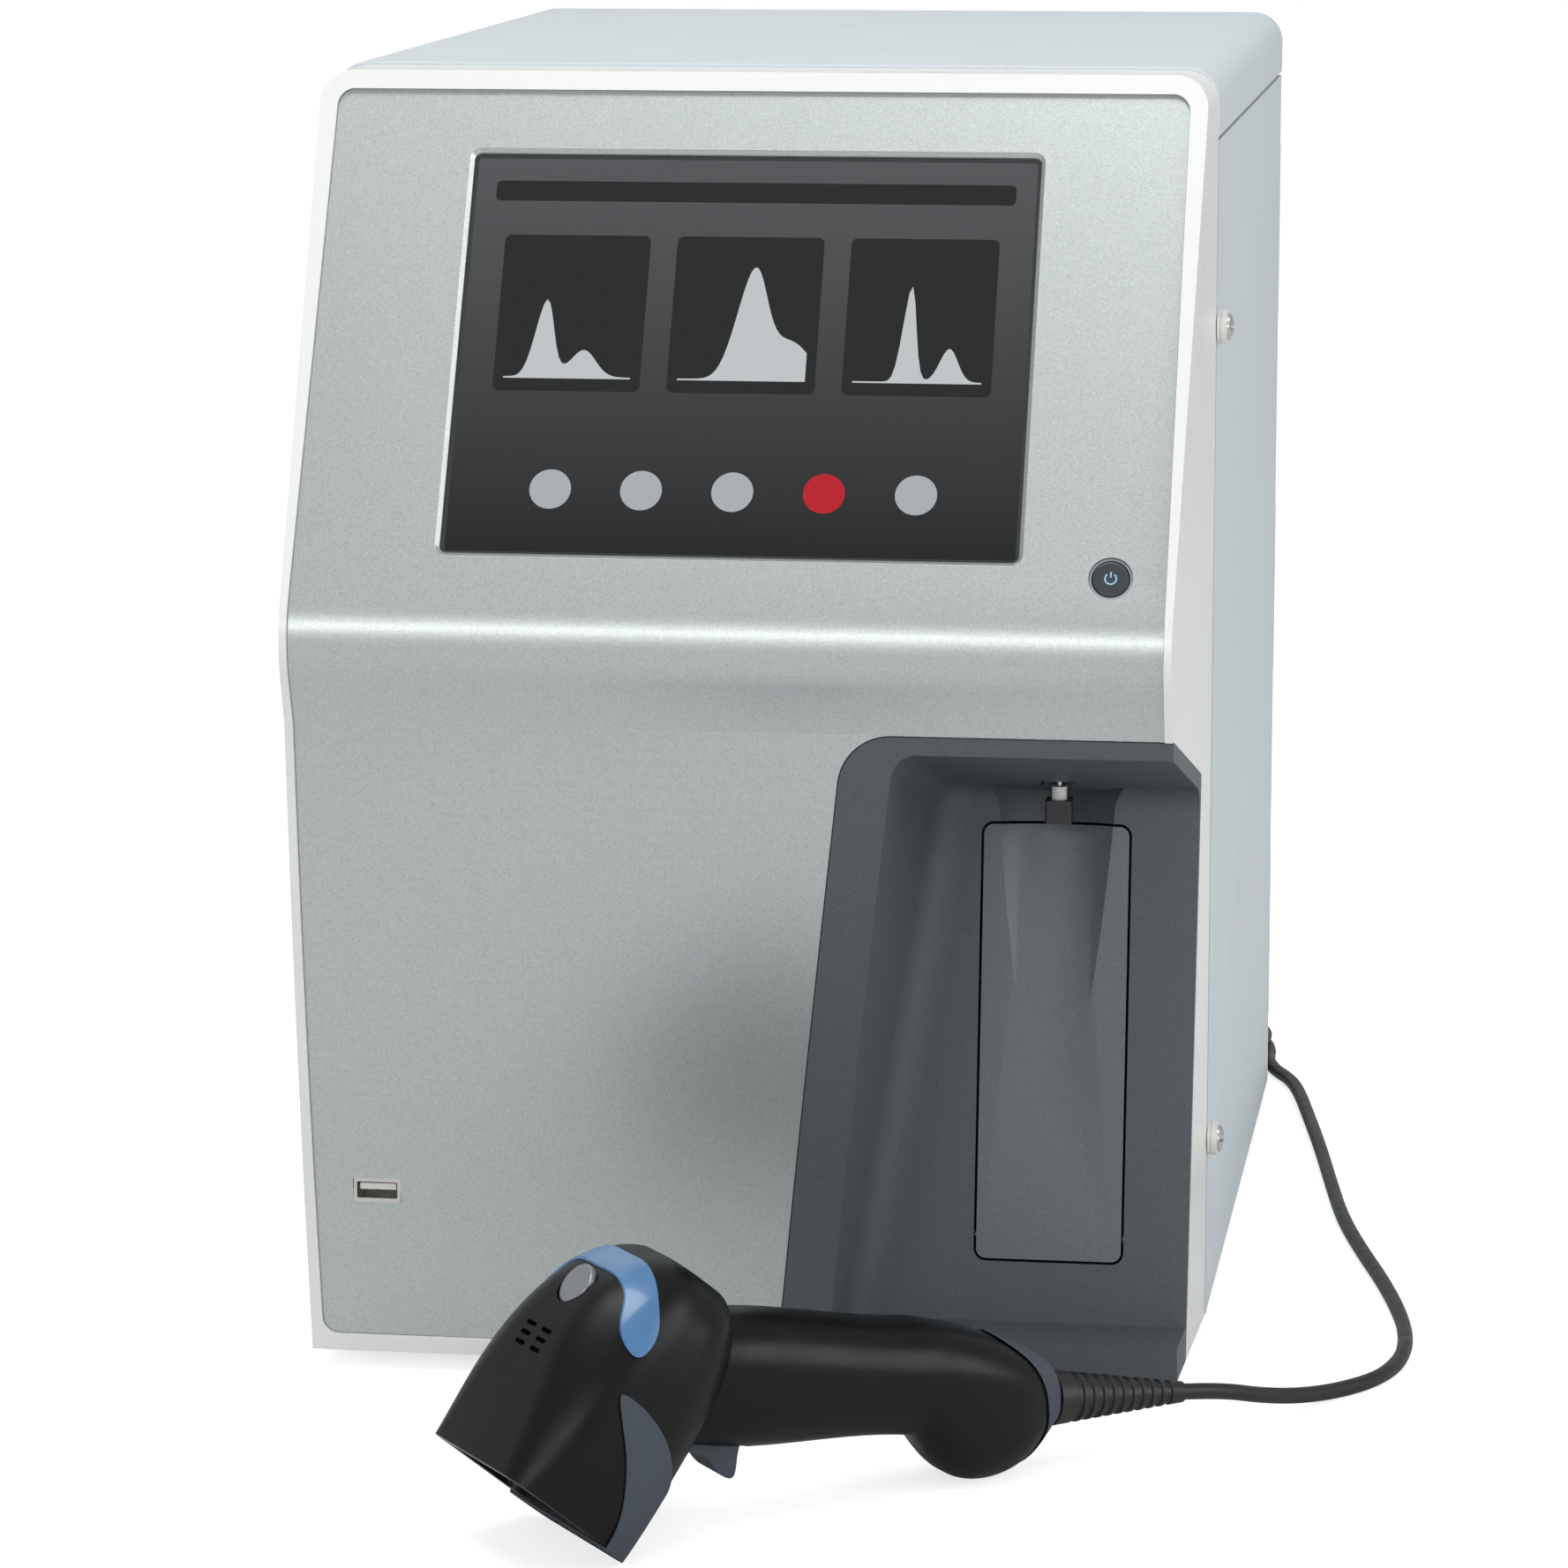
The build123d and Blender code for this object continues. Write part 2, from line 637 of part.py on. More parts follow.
# Front USB socket: a folded metal shell with a front flange, and its white tongue
usb_face_y = crease_y + slope_tan(tuck_angle) * (crease_height - usb_z) - lower_bow + lip_proud
usb_plane = Plane(origin=(usb_x, usb_face_y, usb_z), x_dir=(1, 0, 0), z_dir=(0, -1, 0))
with BuildPart() as usb_front_shell:
    with BuildSketch(usb_plane.offset(-0.9)):
        RectangleRounded(usb_flange_width, usb_flange_height, 1.1)
        RectangleRounded(usb_shell_width - 2 * usb_shell_wall, usb_shell_height - 2 * usb_shell_wall, 0.4,
                         mode=Mode.SUBTRACT)
    extrude(amount=-0.8)
    with BuildSketch(usb_plane.offset(-0.9)):
        RectangleRounded(usb_shell_width, usb_shell_height, 0.7)
        RectangleRounded(usb_shell_width - 2 * usb_shell_wall, usb_shell_height - 2 * usb_shell_wall, 0.4,
                         mode=Mode.SUBTRACT)
    extrude(amount=-usb_depth)
usb_front_shell.part.label = "usb_front_shell"
export_step(usb_front_shell.part, "parts/usb_front_shell.step")

usb_inner_width = usb_shell_width - 2 * usb_shell_wall
usb_inner_height = usb_shell_height - 2 * usb_shell_wall
with BuildPart() as usb_front_tongue:
    with BuildSketch(usb_plane.offset(-0.9 - usb_depth + 4.0)):
        Rectangle(usb_inner_width - 0.2, usb_inner_height - 0.2)
    extrude(amount=-7.0)
    with BuildSketch(usb_plane.offset(-2.4)):
        with Locations((0, usb_inner_height / 2 - 0.75 - 0.95)):
            Rectangle(11.0, 1.9)
    extrude(amount=-(usb_depth - 5.0))
usb_front_tongue.part.label = "usb_front_tongue"
export_step(usb_front_tongue.part, "parts/usb_front_tongue.step")

# Covers: a top cover with rounded long edges, the left cover and the right service door
flange = 10.0
door_edge_flange = 3.0
cover_low_flange = foot_height + tray_wall_height + 0.3
door_low_flange = foot_height + tray_wall_height + 1.0
louvre_length = 46.0
louvre_pitch = 9.0
hinge_radius = 1.8
hinge_pin_radius = 0.9
hinge_clearance = 0.06
hinge_x = half_width - hinge_radius
hinge_y = rear_y - hinge_radius - 0.6
knuckle = 24.0
knuckle_gap = 0.4
hinge_groups = (60.0, 188.0, 316.0)

with BuildPart() as top_cover:
    cover_length = rear_y - seam_y
    with BuildSketch(Plane.XZ.offset(-seam_y)):
        with Locations((0, (top_height + skirt_bottom) / 2)):
            Rectangle(body_width, top_height - skirt_bottom)
    extrude(amount=-cover_length)
    long_edges = top_cover.edges().filter_by(Axis.Y).group_by(Axis.Z)[-1]
    fillet(long_edges, cover_corner)
    fillet(top_cover.faces().sort_by(Axis.Y)[-1].edges().sort_by(Axis.Z)[1:], 2.0)
    with BuildSketch(Plane.XZ.offset(-seam_y)):
        with Locations((0, (top_height + skirt_bottom) / 2 - cover_wall)):
            inner = Rectangle(body_width - 2 * cover_wall, top_height - skirt_bottom)
        fillet(inner.vertices().group_by(Axis.Y)[-1], cover_corner - cover_wall)
    extrude(amount=-(cover_length - cover_wall), mode=Mode.SUBTRACT)
    # stiffening ribs across the underside
    for rib in range(4):
        with BuildSketch(Plane.XZ.offset(-(seam_y + 30 + rib * (cover_length - 60) / 3))):
            with Locations((0, top_height - cover_wall - 3.0)):
                Rectangle(body_width - 2 * cover_corner, 6.0)
        extrude(amount=-2.0)
top_cover.part.label = "top_cover"
export_step(top_cover.part, "parts/top_cover.step")

with BuildPart() as left_cover:
    with BuildSketch(Plane.YZ.offset(-half_width)):
        with Locations(((seam_y + panel_gap + rear_y) / 2, (foot_height + side_top) / 2)):
            Rectangle(rear_y - seam_y - panel_gap, side_top - foot_height)
    extrude(amount=sheet)
    for low in (cover_low_flange, side_top - sheet):
        with BuildSketch(Plane.XY.offset(low)):
            with Locations((-half_width + flange / 2, (seam_y + rear_y) / 2)):
                Rectangle(flange, rear_y - seam_y - 14)
        extrude(amount=sheet)
    with BuildSketch(Plane.YZ.offset(-half_width - 1)):
        with Locations((rear_y - 90, 300)):
            with GridLocations(louvre_length + 10, louvre_pitch, 2, 8):
                SlotOverall(louvre_length, 3.0)
    extrude(amount=sheet + 2, mode=Mode.SUBTRACT)
left_cover.part.label = "left_cover"
export_step(left_cover.part, "parts/left_cover.step")


def knuckle_spans(of_door):
    """Heights of the hinge knuckles: each hinge has two on the frame and one on the door between them."""
    spans = []
    for middle in hinge_groups:
        if of_door:
            spans.append((middle - knuckle / 2 + knuckle_gap, middle + knuckle / 2 - knuckle_gap))
        else:
            spans.append((middle - knuckle * 1.25, middle - knuckle / 2))
            spans.append((middle + knuckle / 2, middle + knuckle * 1.25))
    return spans


with BuildPart() as right_door:
    door_end = hinge_y - hinge_radius - 0.5
    with BuildSketch(Plane.YZ.offset(half_width - door_sheet)):
        with Locations(((seam_y + panel_gap + door_end) / 2, (foot_height + side_top) / 2)):
            Rectangle(door_end - seam_y - panel_gap, side_top - foot_height)
    extrude(amount=door_sheet)
    for low in (door_low_flange, side_top - sheet):
        with BuildSketch(Plane.XY.offset(low)):
            with Locations((half_width - flange / 2, (seam_y + rear_y) / 2)):
                Rectangle(flange, rear_y - seam_y - 44)
        extrude(amount=sheet)
    with BuildSketch(Plane.XY.offset(foot_height)):
        with Locations((half_width - door_edge_flange / 2, seam_y + panel_gap + sheet / 2)):
            Rectangle(door_edge_flange, sheet)
    extrude(amount=side_top - foot_height)
    for low, high in knuckle_spans(True):
        with BuildSketch(Plane.XY.offset(low)):
            with Locations((hinge_x, hinge_y)):
                Circle(hinge_radius)
            with Locations((half_width - door_sheet / 2, (door_end + hinge_y) / 2)):
                Rectangle(door_sheet, hinge_y - door_end + 0.4)
            with Locations((hinge_x, hinge_y)):
                Circle(hinge_pin_radius + hinge_clearance, mode=Mode.SUBTRACT)
        extrude(amount=high - low)
    with BuildSketch(Plane.YZ.offset(half_width - door_sheet - 1)):
        for height in latch_heights:
            with Locations((latch_y, height)):
                Circle(latch_shaft_radius + 0.1)
    extrude(amount=door_sheet + 2, mode=Mode.SUBTRACT)
right_door.part.label = "right_door"
export_step(right_door.part, "parts/right_door.step")

with BuildPart() as door_hinge_pins:
    for middle in hinge_groups:
        with BuildSketch(Plane.XY.offset(middle - knuckle * 1.25)):
            with Locations((hinge_x, hinge_y)):
                Circle(hinge_pin_radius)
        extrude(amount=knuckle * 2.5)
door_hinge_pins.part.label = "door_hinge_pins"
export_step(door_hinge_pins.part, "parts/door_hinge_pins.step")

# Quarter-turn fasteners: slotted dome head, shaft and paddle; a white nylon washer under each
washer_radius = 5.2
washer_thickness = 3.0
head_radius = 4.2
head_height = 1.9
washer_step = 0.9
latch_names = ("door_latch_lower", "door_latch_upper")
for latch_name, height in zip(latch_names, latch_heights):
    with BuildPart() as door_latch:
        outer = half_width + washer_thickness
        with BuildSketch(Plane.XY):
            with BuildLine():
                dome_side = (outer, head_radius)
                dome_top = (outer + head_height, 0)
                Polyline((outer, 0), dome_side, (outer + 0.7, head_radius))
                ThreePointArc((outer + 0.7, head_radius), (outer + 1.5, head_radius * 0.62), dome_top)
                Line(dome_top, (outer, 0))
            make_face()
        revolve(axis=Axis.X)
        with BuildSketch(Plane.YZ.offset(latch_tab_x - 1.9)):
            Circle(latch_shaft_radius)
        extrude(amount=outer + 0.2 - latch_tab_x + 1.9)
        with BuildSketch(Plane.YZ.offset(latch_tab_x - 1.9)):
            Rectangle(latch_paddle_width, latch_paddle_length)
        extrude(amount=1.6)
        with BuildSketch(Plane.YZ.offset(outer + head_height + 0.2)):
            Rectangle(1.2, 2 * head_radius + 1)
            Rectangle(2 * head_radius + 1, 1.2)
        extrude(amount=-1.3, mode=Mode.SUBTRACT)
    latch_body = door_latch.part.moved(Location((0, latch_y, height)))
    latch_body.label = latch_name
    export_step(latch_body, f"parts/{latch_name}.step")

with BuildPart() as latch_washers:
    for height in latch_heights:
        with BuildSketch(Plane.YZ.offset(half_width)):
            with Locations((latch_y, height)):
                Circle(washer_radius)
                Circle(latch_shaft_radius + 0.1, mode=Mode.SUBTRACT)
        extrude(amount=washer_thickness)
        with BuildSketch(Plane.YZ.offset(half_width + washer_step)):
            with Locations((latch_y, height)):
                Circle(washer_radius + 1)
                Circle(washer_radius - 0.35, mode=Mode.SUBTRACT)
        extrude(amount=0.35, mode=Mode.SUBTRACT)
latch_washers.part.label = "latch_washers"
export_step(latch_washers.part, "parts/latch_washers.step")

# Rear panel: a flat sheet with the fan guard, the cut-outs for its sockets and the hinge knuckles
panel_left = -half_width + sheet
panel_right = hinge_x - hinge_radius - knuckle_gap
fan_x = -70.0
fan_z = 250.0
fan_size = 92.0
fan_depth = 25.0
fan_bore = 43.5
fan_screw_pitch = 82.5
fan_corner = 5.0
guard_rings = 5
guard_bar = 2.2
guard_slot = 5.0
guard_spoke = 4.0
inlet_x = -85.0
inlet_z = 45.0
inlet_width = 46.0
inlet_height = 26.0
socket_gap = 0.3
port_row_x = 60.0
port_row_z = 70.0
port_row_pitch = 24.0
network_width = 16.0
network_height = 13.4
fitting_x = 100.0
fitting_low_z = 200.0
fitting_pitch = 33.0
fitting_count = 4
fitting_neck = 4.0
panel_screw_places = low_screw_places + [(panel_left + 5.0, z) for z in (80.0, 190.0, 300.0)]
fitting_places = [(fitting_x, fitting_low_z + step * fitting_pitch) for step in range(fitting_count)]
back_face = Plane.XZ.offset(-rear_y)

with BuildPart() as rear_panel:
    with BuildSketch(back_face):
        with Locations(((panel_left + panel_right) / 2, (foot_height + side_top) / 2)):
            Rectangle(panel_right - panel_left, side_top - foot_height)
    extrude(amount=sheet)
    with BuildSketch(Plane.XY.offset(side_top - sheet)):
        with Locations((0, rear_y - flange / 2)):
            Rectangle(2 * (half_width - flange - 1.0), flange)
    extrude(amount=sheet)
    for low, high in knuckle_spans(False):
        with BuildSketch(Plane.XY.offset(low)):
            with Locations((hinge_x, hinge_y)):
                Circle(hinge_radius)
            with Locations(((panel_right - 1 + hinge_x) / 2, rear_y - sheet / 2)):
                Rectangle(hinge_x - panel_right + 1, sheet)
            with Locations((hinge_x, hinge_y)):
                Circle(hinge_pin_radius, mode=Mode.SUBTRACT)
        extrude(amount=high - low)
    with BuildSketch(back_face):
        with Locations((fan_x, fan_z)):
            for ring in reversed(range(guard_rings)):
                outer = fan_bore - 0.5 - (guard_rings - 1 - ring) * (guard_slot + guard_bar)
                Circle(outer)
                Circle(outer - guard_slot, mode=Mode.SUBTRACT)
            with Locations(Rotation(0, 0, 45)):
                Rectangle(2 * fan_bore, guard_spoke, mode=Mode.SUBTRACT)
                Rectangle(guard_spoke, 2 * fan_bore, mode=Mode.SUBTRACT)
    extrude(amount=sheet, mode=Mode.SUBTRACT)
    with BuildSketch(back_face):
        with Locations((inlet_x, inlet_z)):
            Rectangle(inlet_width + 2 * socket_gap, inlet_height + 2 * socket_gap)
        with Locations((port_row_x, port_row_z), (port_row_x + port_row_pitch, port_row_z)):
            Rectangle(usb_shell_width + 2 * socket_gap, usb_shell_height + 2 * socket_gap)
        with Locations((port_row_x + 2 * port_row_pitch, port_row_z)):
            Rectangle(network_width + 2 * socket_gap, network_height + 2 * socket_gap)
        with Locations(*fitting_places):
            Circle(fitting_neck)
        with Locations(*panel_screw_places):
            Circle(panel_screw_radius)
    extrude(amount=sheet, mode=Mode.SUBTRACT)
rear_panel.part.label = "rear_panel"
export_step(rear_panel.part, "parts/rear_panel.step")

screw_head_radius = 2.9
screw_head_height = 2.0
screw_length = 4.0
with BuildPart() as rear_panel_screws:
    with BuildSketch(back_face):
        with Locations(*panel_screw_places):
            Circle(screw_head_radius)
    extrude(amount=-screw_head_height)
    fillet(rear_panel_screws.edges().group_by(Axis.Y)[-1], 0.8)
    with BuildSketch(back_face):
        with Locations(*panel_screw_places):
            Circle(panel_screw_radius)
    extrude(amount=screw_length)
rear_panel_screws.part.label = "rear_panel_screws"
export_step(rear_panel_screws.part, "parts/rear_panel_screws.step")

# Mains inlet: a flanged body with the keyed socket and its three blades
inlet_depth = 28.0
inlet_flange = 1.5
inlet_cavity_width = 24.2
inlet_cavity_height = 16.4
inlet_cavity_depth = 17.0
inlet_cavity_x = 6.0
blade_width = 2.0
blade_height = 4.0
blade_length = 14.0
with BuildPart() as mains_inlet:
    with BuildSketch(back_face):
        with Locations((inlet_x, inlet_z)):
            RectangleRounded(inlet_width + 6, inlet_height + 6, 3.0)
    extrude(amount=-inlet_flange)
    with BuildSketch(back_face):
        with Locations((inlet_x, inlet_z)):
            Rectangle(inlet_width, inlet_height)
    extrude(amount=inlet_depth)
    with BuildSketch(back_face.offset(-inlet_flange)):
        with Locations((inlet_x - inlet_cavity_x, inlet_z)):
            cavity = Rectangle(inlet_cavity_width, inlet_cavity_height)
        chamfer(cavity.vertices().group_by(Axis.Y)[-1], 4.5)
    extrude(amount=inlet_cavity_depth + inlet_flange, mode=Mode.SUBTRACT)
    with BuildSketch(back_face.offset(inlet_cavity_depth + 0.1)):
        with Locations((inlet_x - inlet_cavity_x, inlet_z)):
            with GridLocations(14.0, 0, 2, 1):
                Rectangle(blade_width, blade_height)
            with Locations((0, 3.5)):
                Rectangle(blade_width, blade_height)
    extrude(amount=-blade_length)
    # fuse drawer beside the socket
    with BuildSketch(back_face.offset(-inlet_flange)):
        with Locations((inlet_x + inlet_width / 2 - 7.5, inlet_z)):
            RectangleRounded(9.0, 19.0, 1.0)
            RectangleRounded(8.0, 18.0, 0.8, mode=Mode.SUBTRACT)
    extrude(amount=1.0, mode=Mode.SUBTRACT)
mains_inlet.part.label = "mains_inlet"
export_step(mains_inlet.part, "parts/mains_inlet.step")

# Rear sockets: two serial-bus sockets and a network socket on one upright board
board_thickness = 1.6
rear_board_y = rear_y - usb_depth - board_thickness - 0.2
tongue_lift = usb_inner_height / 2 - 0.75 - 0.95
with BuildPart() as rear_data_ports:
    with BuildSketch(Plane.XZ.offset(-rear_board_y - board_thickness)):
        with Locations((port_row_x + port_row_pitch, port_row_z)):
            Rectangle(2 * port_row_pitch + 24, 26)
    extrude(amount=board_thickness)
    for step in range(2):
        middle = (port_row_x + step * port_row_pitch, port_row_z)
        with BuildSketch(back_face.offset(-0.4)):
            with Locations(middle):
                RectangleRounded(usb_shell_width, usb_shell_height, 0.7)
                RectangleRounded(usb_inner_width, usb_inner_height, 0.4, mode=Mode.SUBTRACT)
        extrude(amount=rear_y + 0.4 - rear_board_y - board_thickness)
        with BuildSketch(back_face.offset(1.5)):
            with Locations((middle[0], middle[1] + tongue_lift)):
                Rectangle(11.0, 1.9)
        extrude(amount=rear_y - 1.5 - rear_board_y - board_thickness)
        with BuildSketch(back_face.offset(usb_depth - 1.0)):
            with Locations(middle):
                Rectangle(usb_inner_width, usb_inner_height)
        extrude(amount=1.2)
    with BuildSketch(back_face.offset(-0.4)):
        with Locations((port_row_x + 2 * port_row_pitch, port_row_z)):
            RectangleRounded(network_width, network_height, 0.6)
    extrude(amount=rear_y + 0.4 - rear_board_y - board_thickness)
    with BuildSketch(back_face.offset(-0.5)):
        with Locations((port_row_x + 2 * port_row_pitch, port_row_z + 0.6)):
            Rectangle(11.8, 8.4)
            with Locations((0, -5.2)):
                Rectangle(6.2, 2.4)
    extrude(amount=12.0, mode=Mode.SUBTRACT)
rear_data_ports.part.label = "rear_data_ports"
export_step(rear_data_ports.part, "parts/rear_data_ports.step")

# Reagent fittings: barbed bulkhead fittings with a nut inside and a ring outside
barb_length = 14.0
barb_radius = 3.0
with BuildPart() as reagent_fittings:
    for place in fitting_places:
        with BuildSketch(Plane(origin=(place[0], rear_y, place[1]), x_dir=(1, 0, 0), z_dir=(0, 0, 1))):
            with BuildLine():
                ring = 2.5
                Polyline((0, -9.0), (2.6, -9.0), (barb_radius, -6.5), (7.0, -6.5), (7.0, -sheet),
                         (fitting_neck, -sheet), (fitting_neck, 0), (7.5, 0), (7.5, ring), (2.4, ring),
                         (2.4, ring + 3), (barb_radius, ring + 3), (2.4, ring + 6.5),
                         (barb_radius, ring + 6.5), (1.6, barb_length), (0, barb_length), close=True)
            make_face()
        revolve(axis=Axis((place[0], rear_y, place[1]), (0, 1, 0)))
reagent_fittings.part.label = "reagent_fittings"
export_step(reagent_fittings.part, "parts/reagent_fittings.step")

# Cooling fan: square frame with struts and an axle, and a rotor with seven curved blades
fan_front = rear_y - sheet - fan_depth
fan_hub = 19.0
fan_axle = 1.5
fan_axle_clearance = 0.06
blade_count = 7
blade_gap = 1.2
fan_plane = Plane.XZ.offset(-fan_front)
with BuildPart() as fan_frame:
    with BuildSketch(fan_plane):
        with Locations((fan_x, fan_z)):
            RectangleRounded(fan_size, fan_size, fan_corner)
            Circle(fan_bore, mode=Mode.SUBTRACT)
            with GridLocations(fan_screw_pitch, fan_screw_pitch, 2, 2):
                Circle(2.2, mode=Mode.SUBTRACT)
    extrude(amount=-fan_depth)
    with BuildSketch(fan_plane):
        with Locations((fan_x, fan_z)):
            Circle(fan_hub)
            with Locations(Rotation(0, 0, 45)):
                Rectangle(2 * fan_bore + 4, 4.0)
                Rectangle(4.0, 2 * fan_bore + 4)
    extrude(amount=-3.0)
    with BuildSketch(fan_plane):
        with Locations((fan_x, fan_z)):
            Circle(fan_axle)
    extrude(amount=-15.0)
fan_frame.part.label = "fan_frame"
export_step(fan_frame.part, "parts/fan_frame.step")

rotor_depth = fan_depth - 3.0 - 2 * blade_gap
with BuildPart() as fan_rotor:
    for blade in range(blade_count):
        out = Vector(1, 0, 0).rotate(Axis.Y, blade * 360 / blade_count)
        foot = Vector(fan_x, fan_front + 3.0 + blade_gap + rotor_depth / 2, fan_z) + out * (fan_hub - 2)
        with BuildSketch(Plane(origin=foot, x_dir=(0, 1, 0), z_dir=out)):
            with BuildLine():
                tilt = 9.0
                half = rotor_depth / 2 - 0.5
                bow = 3.0
                thick = 1.6
                ThreePointArc((-half, -tilt), (0, bow), (half, tilt))
                ThreePointArc((half, tilt), (0, bow + thick), (-half, -tilt + thick))
                Line((-half, -tilt + thick), (-half, -tilt))
            make_face()
        extrude(amount=fan_bore - fan_hub + 6)
    with BuildSketch(fan_plane.offset(-3.0)):
        with Locations((fan_x, fan_z)):
            Circle(fan_bore - blade_gap)
    extrude(amount=-fan_depth, mode=Mode.INTERSECT)
    with BuildSketch(fan_plane.offset(-3.0 - blade_gap)):
        with Locations((fan_x, fan_z)):
            Circle(fan_hub)
    extrude(amount=-rotor_depth)
    with BuildSketch(fan_plane.offset(-3.0)):
        with Locations((fan_x, fan_z)):
            Circle(fan_axle + fan_axle_clearance)
    extrude(amount=-12.6, mode=Mode.SUBTRACT)
fan_rotor.part.label = "fan_rotor"
export_step(fan_rotor.part, "parts/fan_rotor.step")

# Service bulkhead: the upright plate that carries the fluidics on its right and the boards on its left
bulkhead_x = 20.0
bulkhead_thickness = 2.0
bulkhead_face = bulkhead_x + bulkhead_thickness
bulkhead_top = 365.0
bulkhead_front = seam_y + 2.0 + sheet
bulkhead_rear = rear_y - 2 * sheet
pump_y = 95.0
pump_z = 120.0
pump_neck = 8.0
with BuildPart() as service_bulkhead:
    with BuildSketch(Plane.YZ.offset(bulkhead_x)):
        with Locations(((bulkhead_front + bulkhead_rear) / 2, (tray_top + bulkhead_top) / 2)):
            Rectangle(bulkhead_rear - bulkhead_front, bulkhead_top - tray_top)
        with Locations((pump_y, pump_z)):
            Circle(pump_neck + socket_gap, mode=Mode.SUBTRACT)
        with Locations((150, 300), (150, 60), (-70, 120)):
            SlotOverall(50, 16, mode=Mode.SUBTRACT)
    extrude(amount=bulkhead_thickness)
    with BuildSketch(Plane.XY.offset(tray_top)):
        with Locations((bulkhead_x - flange / 2 + 1, (bulkhead_front + bulkhead_rear) / 2)):
            Rectangle(flange + 2, bulkhead_rear - bulkhead_front)
    extrude(amount=sheet)
    with BuildSketch(Plane.XY.offset(cover_low_flange)):
        with Locations((bulkhead_x - flange / 2 + 1, bulkhead_rear + sheet / 2)):
            Rectangle(flange + 2, sheet)
    extrude(amount=bulkhead_top - cover_low_flange)
service_bulkhead.part.label = "service_bulkhead"
export_step(service_bulkhead.part, "parts/service_bulkhead.step")

# Probe drive: a plate with its rail and idler pin, a motor, two pulleys, a belt and the carriage
guide_y = -110.0
guide_plate = 2.0
guide_right = 112.0
guide_low = 190.0
guide_high = 352.0
guide_flange_back = -80.0
guide_face = guide_y - guide_plate
rail_x = 80.0
rail_width = 8.0
rail_depth = 6.0
rail_low = 195.0
rail_high = 345.0
belt_x = 60.0
pulley_low_z = 205.0
pulley_high_z = 335.0
pulley_pitch_radius = 6.4
belt_thickness = 1.4
belt_width = 6.0
belt_back = guide_face - 7.0
pulley_gap = 0.3
shaft_radius = 2.5
idler_pin_radius = 2.0
running_gap = 0.05
motor_size = 35.2
motor_length = 30.0
with BuildPart() as probe_guide_rail:
    with BuildSketch(Plane.XZ.offset(-guide_y)):
        with Locations(((bulkhead_face + guide_right) / 2, (guide_low + guide_high) / 2)):
            Rectangle(guide_right - bulkhead_face, guide_high - guide_low)
        with Locations((belt_x, pulley_high_z)):
            Circle(shaft_radius + 0.7, mode=Mode.SUBTRACT)
    extrude(amount=guide_plate)
    with BuildSketch(Plane.XY.offset(guide_low)):
        with Locations((bulkhead_face + guide_plate / 2, (guide_face + guide_flange_back) / 2)):
            Rectangle(guide_plate, guide_flange_back - guide_face)
    extrude(amount=guide_high - guide_low)
    with BuildSketch(Plane.XZ.offset(-guide_face)):
        with Locations((rail_x, (rail_low + rail_high) / 2)):
            Rectangle(rail_width, rail_high - rail_low)
    extrude(amount=rail_depth)
    with BuildSketch(Plane.XZ.offset(-guide_face)):
        with Locations((belt_x, pulley_low_z)):
            Circle(idler_pin_radius)
    extrude(amount=belt_width + 10)
probe_guide_rail.part.label = "probe_guide_rail"
export_step(probe_guide_rail.part, "parts/probe_guide_rail.step")

with BuildPart() as probe_motor:
    with BuildSketch(Plane.XZ.offset(-guide_y - motor_length)):
        with Locations((belt_x, pulley_high_z)):
            RectangleRounded(motor_size, motor_size, 3.5)
    extrude(amount=motor_length)
    with BuildSketch(Plane.XZ.offset(-guide_y)):
        with Locations((belt_x, pulley_high_z)):
            Circle(shaft_radius + running_gap)
    extrude(amount=-18.0, mode=Mode.SUBTRACT)
probe_motor.part.label = "probe_motor"
export_step(probe_motor.part, "parts/probe_motor.step")

with BuildPart() as probe_belt:
    with BuildSketch(Plane.XZ.offset(-belt_back)):
        with Locations((belt_x, (pulley_low_z + pulley_high_z) / 2)):
            belt_out = 2 * (pulley_pitch_radius + belt_thickness * 0.7)
            SlotCenterToCenter(pulley_high_z - pulley_low_z, belt_out, rotation=90)
            SlotCenterToCenter(pulley_high_z - pulley_low_z, belt_out - 2 * belt_thickness, rotation=90,
                               mode=Mode.SUBTRACT)
    extrude(amount=belt_width)
probe_belt.part.label = "probe_belt"
export_step(probe_belt.part, "parts/probe_belt.step")

drum_radius = belt_out / 2 - belt_thickness - pulley_gap
flange_radius = belt_out / 2 + 0.8
pulley_names = {"probe_drive_pulley": pulley_high_z, "probe_idler_pulley": pulley_low_z}
for pulley_name, height in pulley_names.items():
    with BuildPart() as pulley:
        with BuildSketch(Plane.XZ.offset(-belt_back - pulley_gap - 1.0)):
            with Locations((belt_x, height)):
                Circle(drum_radius)
        extrude(amount=belt_width + 2 * pulley_gap + 2.0)
        for start in (-belt_back - pulley_gap - 1.0, -belt_back + belt_width + pulley_gap):
            with BuildSketch(Plane.XZ.offset(start)):
                with Locations((belt_x, height)):
                    Circle(flange_radius)
            extrude(amount=1.0)
        if pulley_name == "probe_drive_pulley":
            with BuildSketch(Plane.XZ.offset(-belt_back)):
                with Locations((belt_x, height)):
                    Circle(shaft_radius)
            extrude(amount=-(guide_y + 15.0 - belt_back))
        else:
            with BuildSketch(Plane.XZ.offset(-guide_face)):
                with Locations((belt_x, height)):
                    Circle(idler_pin_radius + running_gap)
            extrude(amount=30, mode=Mode.SUBTRACT)
    pulley.part.label = pulley_name
    export_step(pulley.part, f"parts/{pulley_name}.step")

